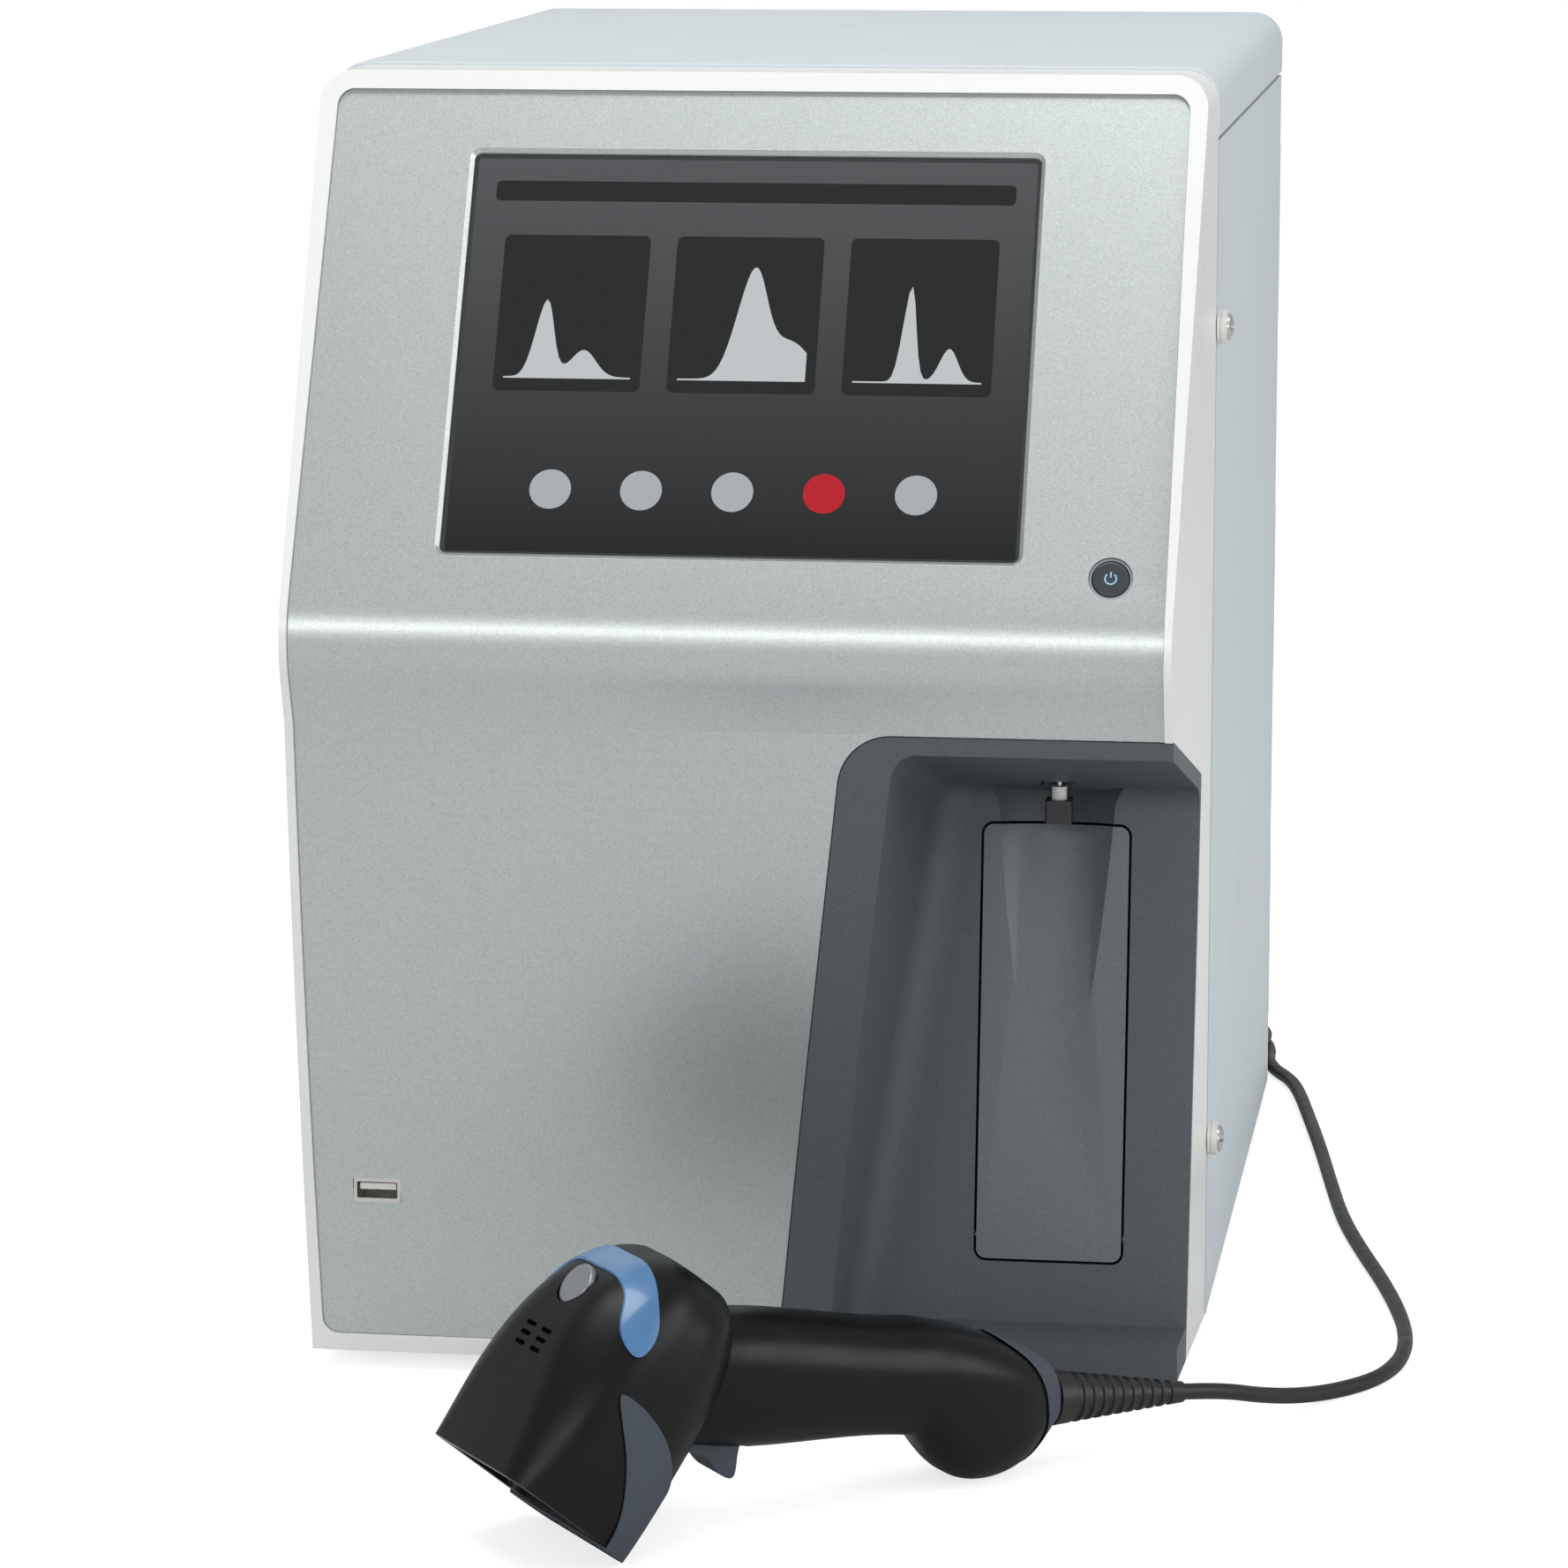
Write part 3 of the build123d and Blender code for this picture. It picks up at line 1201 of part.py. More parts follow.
# Probe carriage: a block astride the rail, a jaw round the belt and an arm that holds the needle
carriage_width = 24.0
carriage_height = 22.0
carriage_front = guide_face - rail_depth - 6.0
carriage_back = guide_face - 0.3
arm_width = 8.0
arm_height = 8.0
jaw_slot = 2.0
belt_run_x = belt_x + pulley_pitch_radius + 0.3
with BuildPart() as probe_carriage:
    with BuildSketch(Plane.XY.offset(carriage_z - carriage_height / 2)):
        with Locations((rail_x, (carriage_front + carriage_back) / 2)):
            Rectangle(carriage_width, carriage_back - carriage_front)
        with Locations((rail_x, guide_face - rail_depth / 2)):
            Rectangle(rail_width + 2 * running_gap, rail_depth + 2 * running_gap, mode=Mode.SUBTRACT)
    extrude(amount=carriage_height)
    with BuildSketch(Plane.XY.offset(carriage_z - arm_height / 2)):
        with Locations((probe_x, (carriage_front + 3 + probe_y - 4) / 2)):
            Rectangle(arm_width, carriage_front + 3 - probe_y + 4)
        jaw_mid = (belt_run_x - 2.5 + rail_x - carriage_width / 2 + 1) / 2
        with Locations((jaw_mid, belt_back - belt_width / 2)):
            Rectangle(rail_x - carriage_width / 2 + 1 - belt_run_x + 2.5, belt_width + 4)
        with Locations((belt_run_x, belt_back - belt_width / 2)):
            Rectangle(jaw_slot, belt_width + 0.8, mode=Mode.SUBTRACT)
        with Locations((probe_x, probe_y)):
            Circle(needle_radius, mode=Mode.SUBTRACT)
    extrude(amount=arm_height)
probe_carriage.part.label = "probe_carriage"
export_step(probe_carriage.part, "parts/probe_carriage.step")

needle_tip_z = wash_bottom + 3.0
needle_hub_radius = 2.5
needle_hub = 8.0
with BuildPart() as aspiration_probe:
    with BuildSketch(Plane.XY.offset(needle_tip_z)):
        with Locations((probe_x, probe_y)):
            Circle(needle_radius)
    extrude(amount=carriage_z + arm_height / 2 - needle_tip_z)
    chamfer(aspiration_probe.edges().group_by(Axis.Z)[0], 0.4)
    with BuildSketch(Plane.XY.offset(carriage_z + arm_height / 2)):
        with Locations((probe_x, probe_y)):
            Circle(needle_hub_radius)
    extrude(amount=needle_hub)
aspiration_probe.part.label = "aspiration_probe"
export_step(aspiration_probe.part, "parts/aspiration_probe.step")

# Wash block round the needle, hung through the port's ceiling on a stem, and the collar on it
stem_width = 6.0
stem_thickness = 2.3
stem_front = probe_y + collar_radius + 0.2
stem_top = 196.0
with BuildPart() as probe_wash_block:
    with BuildSketch(Plane.XY.offset(wash_bottom)):
        with Locations((probe_x, probe_y)):
            RectangleRounded(wash_size, wash_size, 0.8)
    extrude(amount=wash_height)
    with BuildSketch(Plane.XY.offset(wash_bottom + 1)):
        with Locations((probe_x, stem_front + stem_thickness / 2)):
            Rectangle(stem_width, stem_thickness)
    extrude(amount=stem_top - wash_bottom - 1)
    with BuildSketch(Plane.XY.offset(stem_top - 6)):
        with Locations((probe_x, (stem_front + guide_face) / 2)):
            Rectangle(arm_width, guide_face - stem_front)
    extrude(amount=6)
    with BuildSketch(Plane.XY.offset(wash_bottom)):
        with Locations((probe_x, probe_y)):
            Circle(needle_radius + needle_clearance)
    extrude(amount=wash_height, mode=Mode.SUBTRACT)
probe_wash_block.part.label = "probe_wash_block"
export_step(probe_wash_block.part, "parts/probe_wash_block.step")

with BuildPart() as probe_collar:
    with BuildSketch(Plane.XY.offset(wash_bottom + wash_height)):
        with Locations((probe_x, probe_y)):
            Circle(collar_radius)
            Circle(needle_radius + needle_clearance, mode=Mode.SUBTRACT)
    extrude(amount=collar_height)
probe_collar.part.label = "probe_collar"
export_step(probe_collar.part, "parts/probe_collar.step")

# Counting baths: two closed vessels with conical bottoms on one bar
bath_places = (60.0, 95.0)
bath_y = -60.0
bath_low = 190.0
bath_high = 250.0
bath_radius = 13.0
nozzle_radius = 2.0
bar_depth = 6.0
with BuildPart() as counting_baths:
    for x in bath_places:
        with BuildSketch(Plane(origin=(x, bath_y, 0), x_dir=(1, 0, 0), z_dir=(0, -1, 0))):
            with BuildLine():
                Polyline((0, bath_low - 6), (nozzle_radius, bath_low - 6), (nozzle_radius, bath_low),
                         (4.5, bath_low), (bath_radius, bath_low + 14), (bath_radius, bath_high - 5),
                         (bath_radius + 1.5, bath_high - 5), (bath_radius + 1.5, bath_high), (4.5, bath_high),
                         (4.5, bath_high + 5), (nozzle_radius, bath_high + 5),
                         (nozzle_radius, bath_high + 12), (0, bath_high + 12), close=True)
            make_face()
        revolve(axis=Axis((x, bath_y, 0), (0, 0, 1)))
    with BuildSketch(Plane.XY.offset(bath_low + 32)):
        with Locations(((bulkhead_face + bath_places[1] + 8) / 2, bath_y + bath_radius + bar_depth / 2 - 1)):
            Rectangle(bath_places[1] + 8 - bulkhead_face, bar_depth)
    extrude(amount=10)
counting_baths.part.label = "counting_baths"
export_step(counting_baths.part, "parts/counting_baths.step")

# Syringe unit: back plate, two holders, lead screw and motor; glass barrels; plungers on one crossbar
syringe_x = 40.0
syringe_places = (10.0, 40.0)
screw_y = 25.0
drive_plate = 4.0
drive_low = 62.0
drive_top = 216.0
holder_low = 204.0
seat_high = 158.0
seat_thickness = 4.0
holder_right = 50.0
drive_motor_top = 90.0
drive_motor_size = 28.0
lead_radius = 2.5
barrel_radius = 6.0
barrel_bore = 4.6
rod_radius = 2.0
piston_radius = 4.5
syringe_travel = 30.0
with BuildPart() as syringe_drive:
    with BuildSketch(Plane.YZ.offset(bulkhead_face)):
        with Locations((screw_y, (drive_low + drive_top) / 2)):
            RectangleRounded(60, drive_top - drive_low, 3.0)
    extrude(amount=drive_plate)
    for low, high in ((holder_low, drive_top), (seat_high - seat_thickness, seat_high)):
        with BuildSketch(Plane.XY.offset(low)):
            with Locations(((bulkhead_face + drive_plate + holder_right) / 2, screw_y)):
                Rectangle(holder_right - bulkhead_face - drive_plate, 54)
        extrude(amount=high - low)
    with BuildSketch(Plane.XY.offset(seat_high - seat_thickness)):
        with Locations(*[(syringe_x, y) for y in syringe_places]):
            Circle(rod_radius + 0.6)
    extrude(amount=seat_thickness, mode=Mode.SUBTRACT)
    with BuildSketch(Plane.XY.offset(drive_low)):
        with Locations((bulkhead_face + drive_plate + drive_motor_size / 2, screw_y)):
            RectangleRounded(drive_motor_size, drive_motor_size, 3.0)
    extrude(amount=drive_motor_top - drive_low)
    with BuildSketch(Plane.XY.offset(drive_motor_top)):
        with Locations((syringe_x, screw_y)):
            Circle(lead_radius)
    extrude(amount=seat_high - seat_thickness - drive_motor_top)
    with BuildSketch(Plane.XY.offset(drive_top)):
        with Locations(*[(syringe_x, y) for y in syringe_places]):
            Circle(nozzle_radius)
    extrude(amount=6)
syringe_drive.part.label = "syringe_drive"
export_step(syringe_drive.part, "parts/syringe_drive.step")

with BuildPart() as syringe_barrels:
    with BuildSketch(Plane.XY.offset(seat_high)):
        with Locations(*[(syringe_x, y) for y in syringe_places]):
            Circle(barrel_radius)
            Circle(barrel_bore, mode=Mode.SUBTRACT)
    extrude(amount=holder_low - seat_high)
syringe_barrels.part.label = "syringe_barrels"
export_step(syringe_barrels.part, "parts/syringe_barrels.step")

crossbar_z = 140.0
crossbar_height = 8.0
piston_high = holder_low - 1.5
with BuildPart() as syringe_plungers:
    with BuildSketch(Plane.XY.offset(crossbar_z)):
        with Locations((syringe_x, screw_y)):
            RectangleRounded(12, 44, 3.0)
            Circle(lead_radius + running_gap, mode=Mode.SUBTRACT)
    extrude(amount=crossbar_height)
    with BuildSketch(Plane.XY.offset(crossbar_z + crossbar_height)):
        with Locations(*[(syringe_x, y) for y in syringe_places]):
            Circle(rod_radius)
    extrude(amount=piston_high - crossbar_z - crossbar_height)
    with BuildSketch(Plane.XY.offset(piston_high - 6)):
        with Locations(*[(syringe_x, y) for y in syringe_places]):
            Circle(piston_radius)
    extrude(amount=6)
syringe_plungers.part.label = "syringe_plungers"
export_step(syringe_plungers.part, "parts/syringe_plungers.step")

# Peristaltic pump: a body with its roller track and motor, and the three-roller rotor
pump_block = 56.0
pump_front = bulkhead_face + 14.0
pump_floor = bulkhead_face + 4.0
track_radius = 21.5
roller_radius = 5.0
roller_circle = 14.0
rotor_shaft = 3.0
pump_motor_radius = 18.0
pump_motor_length = 34.0
with BuildPart() as pump_body:
    with BuildSketch(Plane.YZ.offset(bulkhead_face)):
        with Locations((pump_y, pump_z)):
            RectangleRounded(pump_block, pump_block, 8.0)
    extrude(amount=pump_front - bulkhead_face)
    with BuildSketch(Plane.YZ.offset(pump_floor)):
        with Locations((pump_y, pump_z)):
            Circle(track_radius)
            with Locations((0, -pump_block / 2)):
                Rectangle(2 * track_radius - 8, pump_block / 2)
    extrude(amount=pump_front - pump_floor, mode=Mode.SUBTRACT)
    with BuildSketch(Plane.YZ.offset(bulkhead_face)):
        with Locations((pump_y, pump_z)):
            Circle(pump_neck)
    extrude(amount=-bulkhead_thickness)
    with BuildSketch(Plane.YZ.offset(bulkhead_x)):
        with Locations((pump_y, pump_z)):
            Circle(pump_motor_radius)
    extrude(amount=-pump_motor_length)
    with BuildSketch(Plane.YZ.offset(pump_floor)):
        with Locations((pump_y, pump_z)):
            Circle(rotor_shaft + running_gap)
    extrude(amount=-14, mode=Mode.SUBTRACT)
pump_body.part.label = "pump_body"
export_step(pump_body.part, "parts/pump_body.step")

with BuildPart() as pump_rotor:
    with BuildSketch(Plane.YZ.offset(pump_floor - 12)):
        with Locations((pump_y, pump_z)):
            Circle(rotor_shaft)
    extrude(amount=pump_front - pump_floor + 12)
    for start, thick in ((pump_floor + 0.4, 1.6), (pump_front - 2.0, 2.0)):
        with BuildSketch(Plane.YZ.offset(start)):
            with Locations((pump_y, pump_z)):
                Circle(7.0)
                with PolarLocations(roller_circle / 2, 3):
                    SlotOverall(roller_circle + 7.0, 7.0)
        extrude(amount=thick)
    with BuildSketch(Plane.YZ.offset(pump_floor + 1.5)):
        with Locations((pump_y, pump_z)):
            with PolarLocations(roller_circle, 3):
                Circle(roller_radius)
    extrude(amount=pump_front - pump_floor - 3.0)
pump_rotor.part.label = "pump_rotor"
export_step(pump_rotor.part, "parts/pump_rotor.step")

# Valve bank: a manifold with a row of pinch valves, each with its coil and cap
valve_count = 5
valve_pitch = 16.0
valve_y = -87.0
valve_z = 68.0
with BuildPart() as valve_bank:
    with BuildSketch(Plane.YZ.offset(bulkhead_face)):
        with Locations((valve_y + (valve_count - 1) * valve_pitch / 2, valve_z)):
            RectangleRounded(valve_count * valve_pitch, 18, 2.0)
    extrude(amount=14)
    with BuildSketch(Plane.YZ.offset(bulkhead_face + 14)):
        with Locations(*[(valve_y + step * valve_pitch, valve_z) for step in range(valve_count)]):
            Circle(7.0)
    extrude(amount=22)
    with BuildSketch(Plane.YZ.offset(bulkhead_face + 36)):
        with Locations(*[(valve_y + step * valve_pitch, valve_z) for step in range(valve_count)]):
            Circle(4.0)
    extrude(amount=5)
    with BuildSketch(Plane.XY.offset(valve_z + 9)):
        with Locations(*[(bulkhead_face + 7, valve_y + step * valve_pitch) for step in range(valve_count)]):
            Circle(nozzle_radius)
    extrude(amount=6)
valve_bank.part.label = "valve_bank"
export_step(valve_bank.part, "parts/valve_bank.step")

# Optics module: a cast block with a lid, cooling ribs and the lamp tube
optics_low = 270.0
optics_high = 340.0
optics_front = -20.0
optics_back = 80.0
optics_width = 50.0
with BuildPart() as optics_module:
    with BuildSketch(Plane.YZ.offset(bulkhead_face)):
        with Locations(((optics_front + optics_back) / 2, (optics_low + optics_high) / 2)):
            RectangleRounded(optics_back - optics_front, optics_high - optics_low, 4.0)
    extrude(amount=optics_width - 6)
    with BuildSketch(Plane.YZ.offset(bulkhead_face + optics_width - 6)):
        with Locations(((optics_front + optics_back) / 2, (optics_low + optics_high) / 2)):
            RectangleRounded(optics_back - optics_front - 6, optics_high - optics_low - 6, 3.0)
    extrude(amount=6)
    fillet(optics_module.faces().sort_by(Axis.X)[-1].edges(), 2.0)
    with BuildSketch(Plane.XZ.offset(-optics_back + 2)):
        with Locations((bulkhead_face + 24, (optics_low + optics_high) / 2)):
            Circle(13)
    extrude(amount=-24)
    for rib in range(6):
        with BuildSketch(Plane.XZ.offset(-optics_back - 4 - rib * 3)):
            with Locations((bulkhead_face + 24, (optics_low + optics_high) / 2)):
                Circle(16)
        extrude(amount=-1.2)
optics_module.part.label = "optics_module"
export_step(optics_module.part, "parts/optics_module.step")

# Electronics on the bulkhead's left side: the main board on its standoffs
main_board_gap = 8.0
with BuildPart() as main_board:
    with BuildSketch(Plane.YZ.offset(bulkhead_x - main_board_gap - board_thickness)):
        with Locations((30, 240)):
            RectangleRounded(180, 190, 3.0)
    extrude(amount=board_thickness)
    with BuildSketch(Plane.YZ.offset(bulkhead_x - main_board_gap)):
        with Locations((30, 240)):
            with GridLocations(168, 178, 2, 2):
                Circle(3.0)
    extrude(amount=main_board_gap)
    with BuildSketch(Plane.YZ.offset(bulkhead_x - main_board_gap - board_thickness)):
        with Locations((0, 270)):
            Rectangle(32, 32)
        with Locations((60, 290), (60, 250)):
            Rectangle(26, 14)
        with Locations((20, 200)):
            with GridLocations(30, 0, 4, 1):
                Rectangle(18, 10)
    extrude(amount=-3.0)
    with BuildSketch(Plane.YZ.offset(bulkhead_x - main_board_gap - board_thickness)):
        with Locations((30, 158)):
            with GridLocations(36, 0, 4, 1):
                Rectangle(28, 9)
    extrude(amount=-9.0)
main_board.part.label = "main_board"
export_step(main_board.part, "parts/main_board.step")

# Power supply: a folded tin with vent slots on the base tray
supply_width = 96.0
supply_length = 150.0
supply_height = 44.0
supply_centre = (-60.0, -20.0)
with BuildPart() as power_supply:
    with BuildSketch(Plane.XY.offset(tray_top)):
        with Locations(supply_centre):
            RectangleRounded(supply_width, supply_length, 2.0)
    extrude(amount=supply_height)
    with BuildSketch(Plane.XY.offset(tray_top + supply_height)):
        with Locations(supply_centre):
            with GridLocations(40, 8, 2, 12):
                SlotOverall(32, 3.2)
    extrude(amount=-2.0, mode=Mode.SUBTRACT)
power_supply.part.label = "power_supply"
export_step(power_supply.part, "parts/power_supply.step")


def bend_radii(points):
    """The arc that each corner of a route has room for."""
    corners = [Vector(*point) for point in points]
    radii = []
    for before, corner, after in zip(corners, corners[1:], corners[2:]):
        turn = (corner - before).get_angle(after - corner)
        shorter = min((corner - before).length, (after - corner).length)
        radii.append(0.45 * shorter / math.tan(math.radians(turn / 2)))
    return radii


def tube_along(points, radius):
    """A round tube that follows straight runs joined by tangent arcs."""
    start = Vector(*points[0])
    with BuildPart() as tube:
        with BuildLine() as route:
            FilletPolyline(*points, radius=bend_radii(points))
        with BuildSketch(Plane(origin=start, z_dir=Vector(*points[1]) - start)):
            Circle(radius)
        sweep(path=route.line)
    return tube.part


# Fluid tubes: from the valves to the baths and the syringes, and from the pump to a valve
tube_radius = 1.6
tube_valve_x = bulkhead_face + 7.0
tube_valve_z = valve_z + 15.0
tube_bottom_z = bath_low - 6.0
syringe_top_z = drive_top + 6.0
tube_routes = [
    [(tube_valve_x, valve_y, tube_valve_z), (tube_valve_x, valve_y, 110), (40, -80, 130), (60, bath_y, 158),
     (60, bath_y, tube_bottom_z)],
    [(tube_valve_x, valve_y + valve_pitch, tube_valve_z), (tube_valve_x, valve_y + valve_pitch, 108),
     (50, -70, 122), (88, -64, 142), (95, bath_y, 160), (95, bath_y, tube_bottom_z)],
    [(tube_valve_x, valve_y + 3 * valve_pitch, tube_valve_z), (tube_valve_x, valve_y + 3 * valve_pitch, 140),
     (33, -33, 200), (34, -30, 240), (38, -14, 252), (syringe_x, 6, 246), (syringe_x, 10, syringe_top_z + 8),
     (syringe_x, 10, syringe_top_z)],
    [(tube_valve_x, valve_y + 4 * valve_pitch, tube_valve_z), (tube_valve_x, valve_y + 4 * valve_pitch, 135),
     (38, -20, 190), (44, -14, 236), (46, 8, 258), (44, 32, 248), (syringe_x, 40, syringe_top_z + 8),
     (syringe_x, 40, syringe_top_z)],
]
with BuildPart() as fluid_tubes:
    for route_points in tube_routes:
        add(tube_along(route_points, tube_radius))
fluid_tubes.part.label = "fluid_tubes"
export_step(fluid_tubes.part, "parts/fluid_tubes.step")

# Hand scanner: it lies on the bench in front of the analyzer, head to the left, handle to the right
scanner_heading = 36.85
scanner_x = -24.7
scanner_y = -339.8
head_cos = math.cos(math.radians(scanner_heading))
head_sin = math.sin(math.radians(scanner_heading))
scanner_plane = Plane(origin=(scanner_x, scanner_y, 0), x_dir=(head_cos, head_sin, 0), z_dir=(head_sin, -head_cos, 0))
side_dir = scanner_plane.z_dir
barrel_tilt = 50.0
barrel_cos = math.cos(math.radians(barrel_tilt))
barrel_sin = math.sin(math.radians(barrel_tilt))
window_centre = (-12.0, 16.3)


def scanner_at(along, height, side=0.0):
    """A point of the scanner: along its heading, up from the bench and out to its right side."""
    return scanner_plane.from_local_coords((along, height, side))


def barrel_plane(distance):
    """A section plane of the head's barrel, a distance behind the window."""
    middle = scanner_at(window_centre[0] + distance * barrel_cos, window_centre[1] + distance * barrel_sin)
    ahead = scanner_at(0, 0) - scanner_at(barrel_cos, barrel_sin)
    return Plane(origin=middle, x_dir=side_dir, z_dir=ahead)


# Barrel sections: distance behind the window, reach up, reach down, half width, corner
barrel_sections = [(0, 21.5, 23.5, 29, 9), (10, 23, 24, 31, 13), (36, 26.4, 25, 31, 19), (55, 24.3, 24, 28, 20),
                   (68, 17.5, 19, 22.5, 15), (75, 9, 12, 14, 8.5)]
# Handle sections: along the heading, underside, top, half width, corner
grip_sections = [(26, 27, 60, 14, 12.5), (50, 21.2, 60.8, 16.2, 15.5), (78, 19.2, 55.8, 16.3, 15.6),
                 (106, 16.4, 50.4, 16.3, 15.4)]
hook_sections = [(106, 16.4, 50.4, 16.3, 15.4), (113, 10, 49, 16.3, 15), (120, 3, 47, 16.2, 14.5),
                 (128, 0.4, 44.4, 15.8, 14), (138, 1.4, 40.2, 14.8, 13), (147, 6.5, 35.6, 12.4, 11),
                 (154, 13.0, 29.5, 8, 7.2)]


def barrel_body(grow):
    with BuildPart() as body:
        for distance, up, down, half, corner in barrel_sections:
            reach = distance
            if distance == barrel_sections[0][0]:
                reach = distance - grow
            if distance == barrel_sections[-1][0]:
                reach = distance + grow
            with BuildSketch(barrel_plane(reach)):
                with Locations((0, (up - down) / 2)):
                    RectangleRounded(2 * (half + grow), up + down + 2 * grow, corner + grow)
        loft()
    return body.part


def handle_body(grow):
    with BuildPart() as body:
        for sections in (grip_sections, hook_sections):
            for along, low, high, half, corner in sections:
                reach = along + grow if along == hook_sections[-1][0] else along
                section = Plane(origin=scanner_at(reach, (low + high) / 2), x_dir=side_dir,
                                z_dir=(-head_cos, -head_sin, 0))
                with BuildSketch(section):
                    RectangleRounded(2 * (half + grow), high - low + 2 * grow, corner + grow)
            loft()
    return body.part


def barrel_point(distance, height):
    """Side-view place of a point given along the barrel and up from its axis."""
    along = window_centre[0] + distance * barrel_cos - height * barrel_sin
    up = window_centre[1] + distance * barrel_sin + height * barrel_cos
    return (along, up)


def roof_plane(distance, height):
    """A plane that faces out of the head's roof, at a height above the barrel's axis."""
    outward = scanner_at(-barrel_sin, barrel_cos) - scanner_at(0, 0)
    return Plane(origin=scanner_at(*barrel_point(distance, height)), x_dir=side_dir, z_dir=outward)


def side_prism(outline, half):
    """A side-view outline of the scanner, as wide as asked to both sides."""
    with BuildPart() as prism:
        with BuildSketch(scanner_plane):
            with BuildLine():
                Spline(*outline, periodic=True)
            make_face()
        extrude(amount=half, both=True)
    return prism.part


barrel = barrel_body(0)
handle = handle_body(0)
window_recess = 2.5
window_width = 44.0
window_height = 26.0
window_lift = 3.0
badge_radius = 6.25
badge_thickness = 1.6
badge_distance = 54.5
badge_seat = 23.4
vent_distance = 36.0
vent_roof = 27.5
trigger_half = 7.0
trigger_gap = 0.4
skin = 0.8
skin_gap = 0.15

trigger_outline = [(33, 31), (43, 31.5), (52, 29), (50.5, 20), (48.5, 13.5), (44.5, 15.5), (40, 21), (34.5, 23.5)]
trigger_pocket = [(31, 33.5), (43, 35), (55, 33), (54.5, 22), (53, 8), (44, 8), (38, 16), (31, 18)]
trigger_pin = (37.0, 28.0)
trigger_pin_radius = 1.2

with BuildPart() as scanner_housing:
    add(barrel)
    add(handle)
    with BuildSketch(barrel_plane(0)):
        with Locations((0, window_lift)):
            RectangleRounded(window_width, window_height, 5.0)
    extrude(amount=-window_recess, mode=Mode.SUBTRACT)
    with BuildSketch(roof_plane(badge_distance, badge_seat)):
        Circle(badge_radius + 0.2)
    extrude(amount=8, mode=Mode.SUBTRACT)
    with BuildSketch(roof_plane(vent_distance, vent_roof)):
        with GridLocations(9.0, 3.0, 2, 3):
            SlotOverall(5.5, 1.3)
    extrude(amount=-3.0, mode=Mode.SUBTRACT)
    add(side_prism(trigger_pocket, trigger_half + trigger_gap), mode=Mode.SUBTRACT)
    with BuildSketch(scanner_plane):
        with Locations(trigger_pin):
            Circle(trigger_pin_radius)
    extrude(amount=trigger_half + trigger_gap + 1.0, both=True)
scanner_housing.part.label = "scanner_housing"
export_step(scanner_housing.part, "parts/scanner_housing.step")

head_skin = barrel_body(skin) - barrel_body(skin_gap)
scanner_width = 40.0

# Slate grips on the head's sides, joined under the window by the bumper
grip_outline = [(36, 10), (33.5, -6), (25, -19), (11, -29), (-6, -30), (-6, -16), (4, -12), (17, -5), (27, 4)]
with BuildPart() as scanner_side_grips:
    add(side_prism([barrel_point(*point) for point in grip_outline], scanner_width))
    add(head_skin, mode=Mode.INTERSECT)
scanner_side_grips.part.label = "scanner_side_grips"
export_step(scanner_side_grips.part, "parts/scanner_side_grips.step")

# Light strip over the back of the head
strip_outline = [(77, 25), (72, 18), (62, 13.5), (51, 10.5), (46, 13.0), (48, 18), (58, 20.5), (66, 25), (72, 31)]
with BuildPart() as scanner_light_strip:
    add(side_prism([barrel_point(*point) for point in strip_outline], scanner_width))
    add(head_skin, mode=Mode.INTERSECT)
    add(handle_body(0.3), mode=Mode.SUBTRACT)
scanner_light_strip.part.label = "scanner_light_strip"
export_step(scanner_light_strip.part, "parts/scanner_light_strip.step")

# Window let into the head's front, and the oval badge on its roof
window_thickness = 1.5
window_gap = 0.2
with BuildPart() as scanner_window:
    with BuildSketch(barrel_plane(window_recess)):
        with Locations((0, window_lift)):
            RectangleRounded(window_width - 2 * window_gap, window_height - 2 * window_gap, 5.0)
    extrude(amount=window_thickness)
scanner_window.part.label = "scanner_window"
export_step(scanner_window.part, "parts/scanner_window.step")

with BuildPart() as scanner_badge:
    with BuildSketch(roof_plane(badge_distance, badge_seat)):
        Circle(badge_radius)
    extrude(amount=badge_thickness)
    fillet(scanner_badge.faces().sort_by(Axis.Z)[-1].edges(), 0.5)
scanner_badge.part.label = "scanner_badge"
export_step(scanner_badge.part, "parts/scanner_badge.step")

# Slate cap wrapped round the handle's butt
cap_skin = 0.6
cap_outline = [(124, 53), (140, 50), (162, 42), (165, 15), (152, -4), (138, -5), (146, 8), (148.5, 20), (145, 32),
               (135, 42)]
with BuildPart() as scanner_end_cap:
    add(side_prism(cap_outline, scanner_width))
    add(handle_body(cap_skin) - handle_body(skin_gap), mode=Mode.INTERSECT)
scanner_end_cap.part.label = "scanner_end_cap"
export_step(scanner_end_cap.part, "parts/scanner_end_cap.step")

# Trigger: it swings on the pin across its pocket
with BuildPart() as scanner_trigger:
    add(side_prism(trigger_outline, trigger_half))
    with BuildSketch(scanner_plane):
        with Locations(trigger_pin):
            Circle(trigger_pin_radius + running_gap)
    extrude(amount=trigger_half + 1, both=True, mode=Mode.SUBTRACT)
scanner_trigger.part.label = "scanner_trigger"
export_step(scanner_trigger.part, "parts/scanner_trigger.step")

# Strain relief: a ribbed taper from the butt to the cord
relief_start = (155.6, 19.52)
relief_end = (201.0, 14.7)
relief_wide = 8.2
relief_narrow = 3.1
relief_ribs = 11
relief_groove = 0.9
relief_base = 6.0
relief_axis = scanner_at(*relief_end) - scanner_at(*relief_start)
relief_length = relief_axis.length
relief_plane = Plane(origin=scanner_at(*relief_start), x_dir=side_dir, z_dir=relief_axis)
rib_pitch = (relief_length - relief_base) / relief_ribs


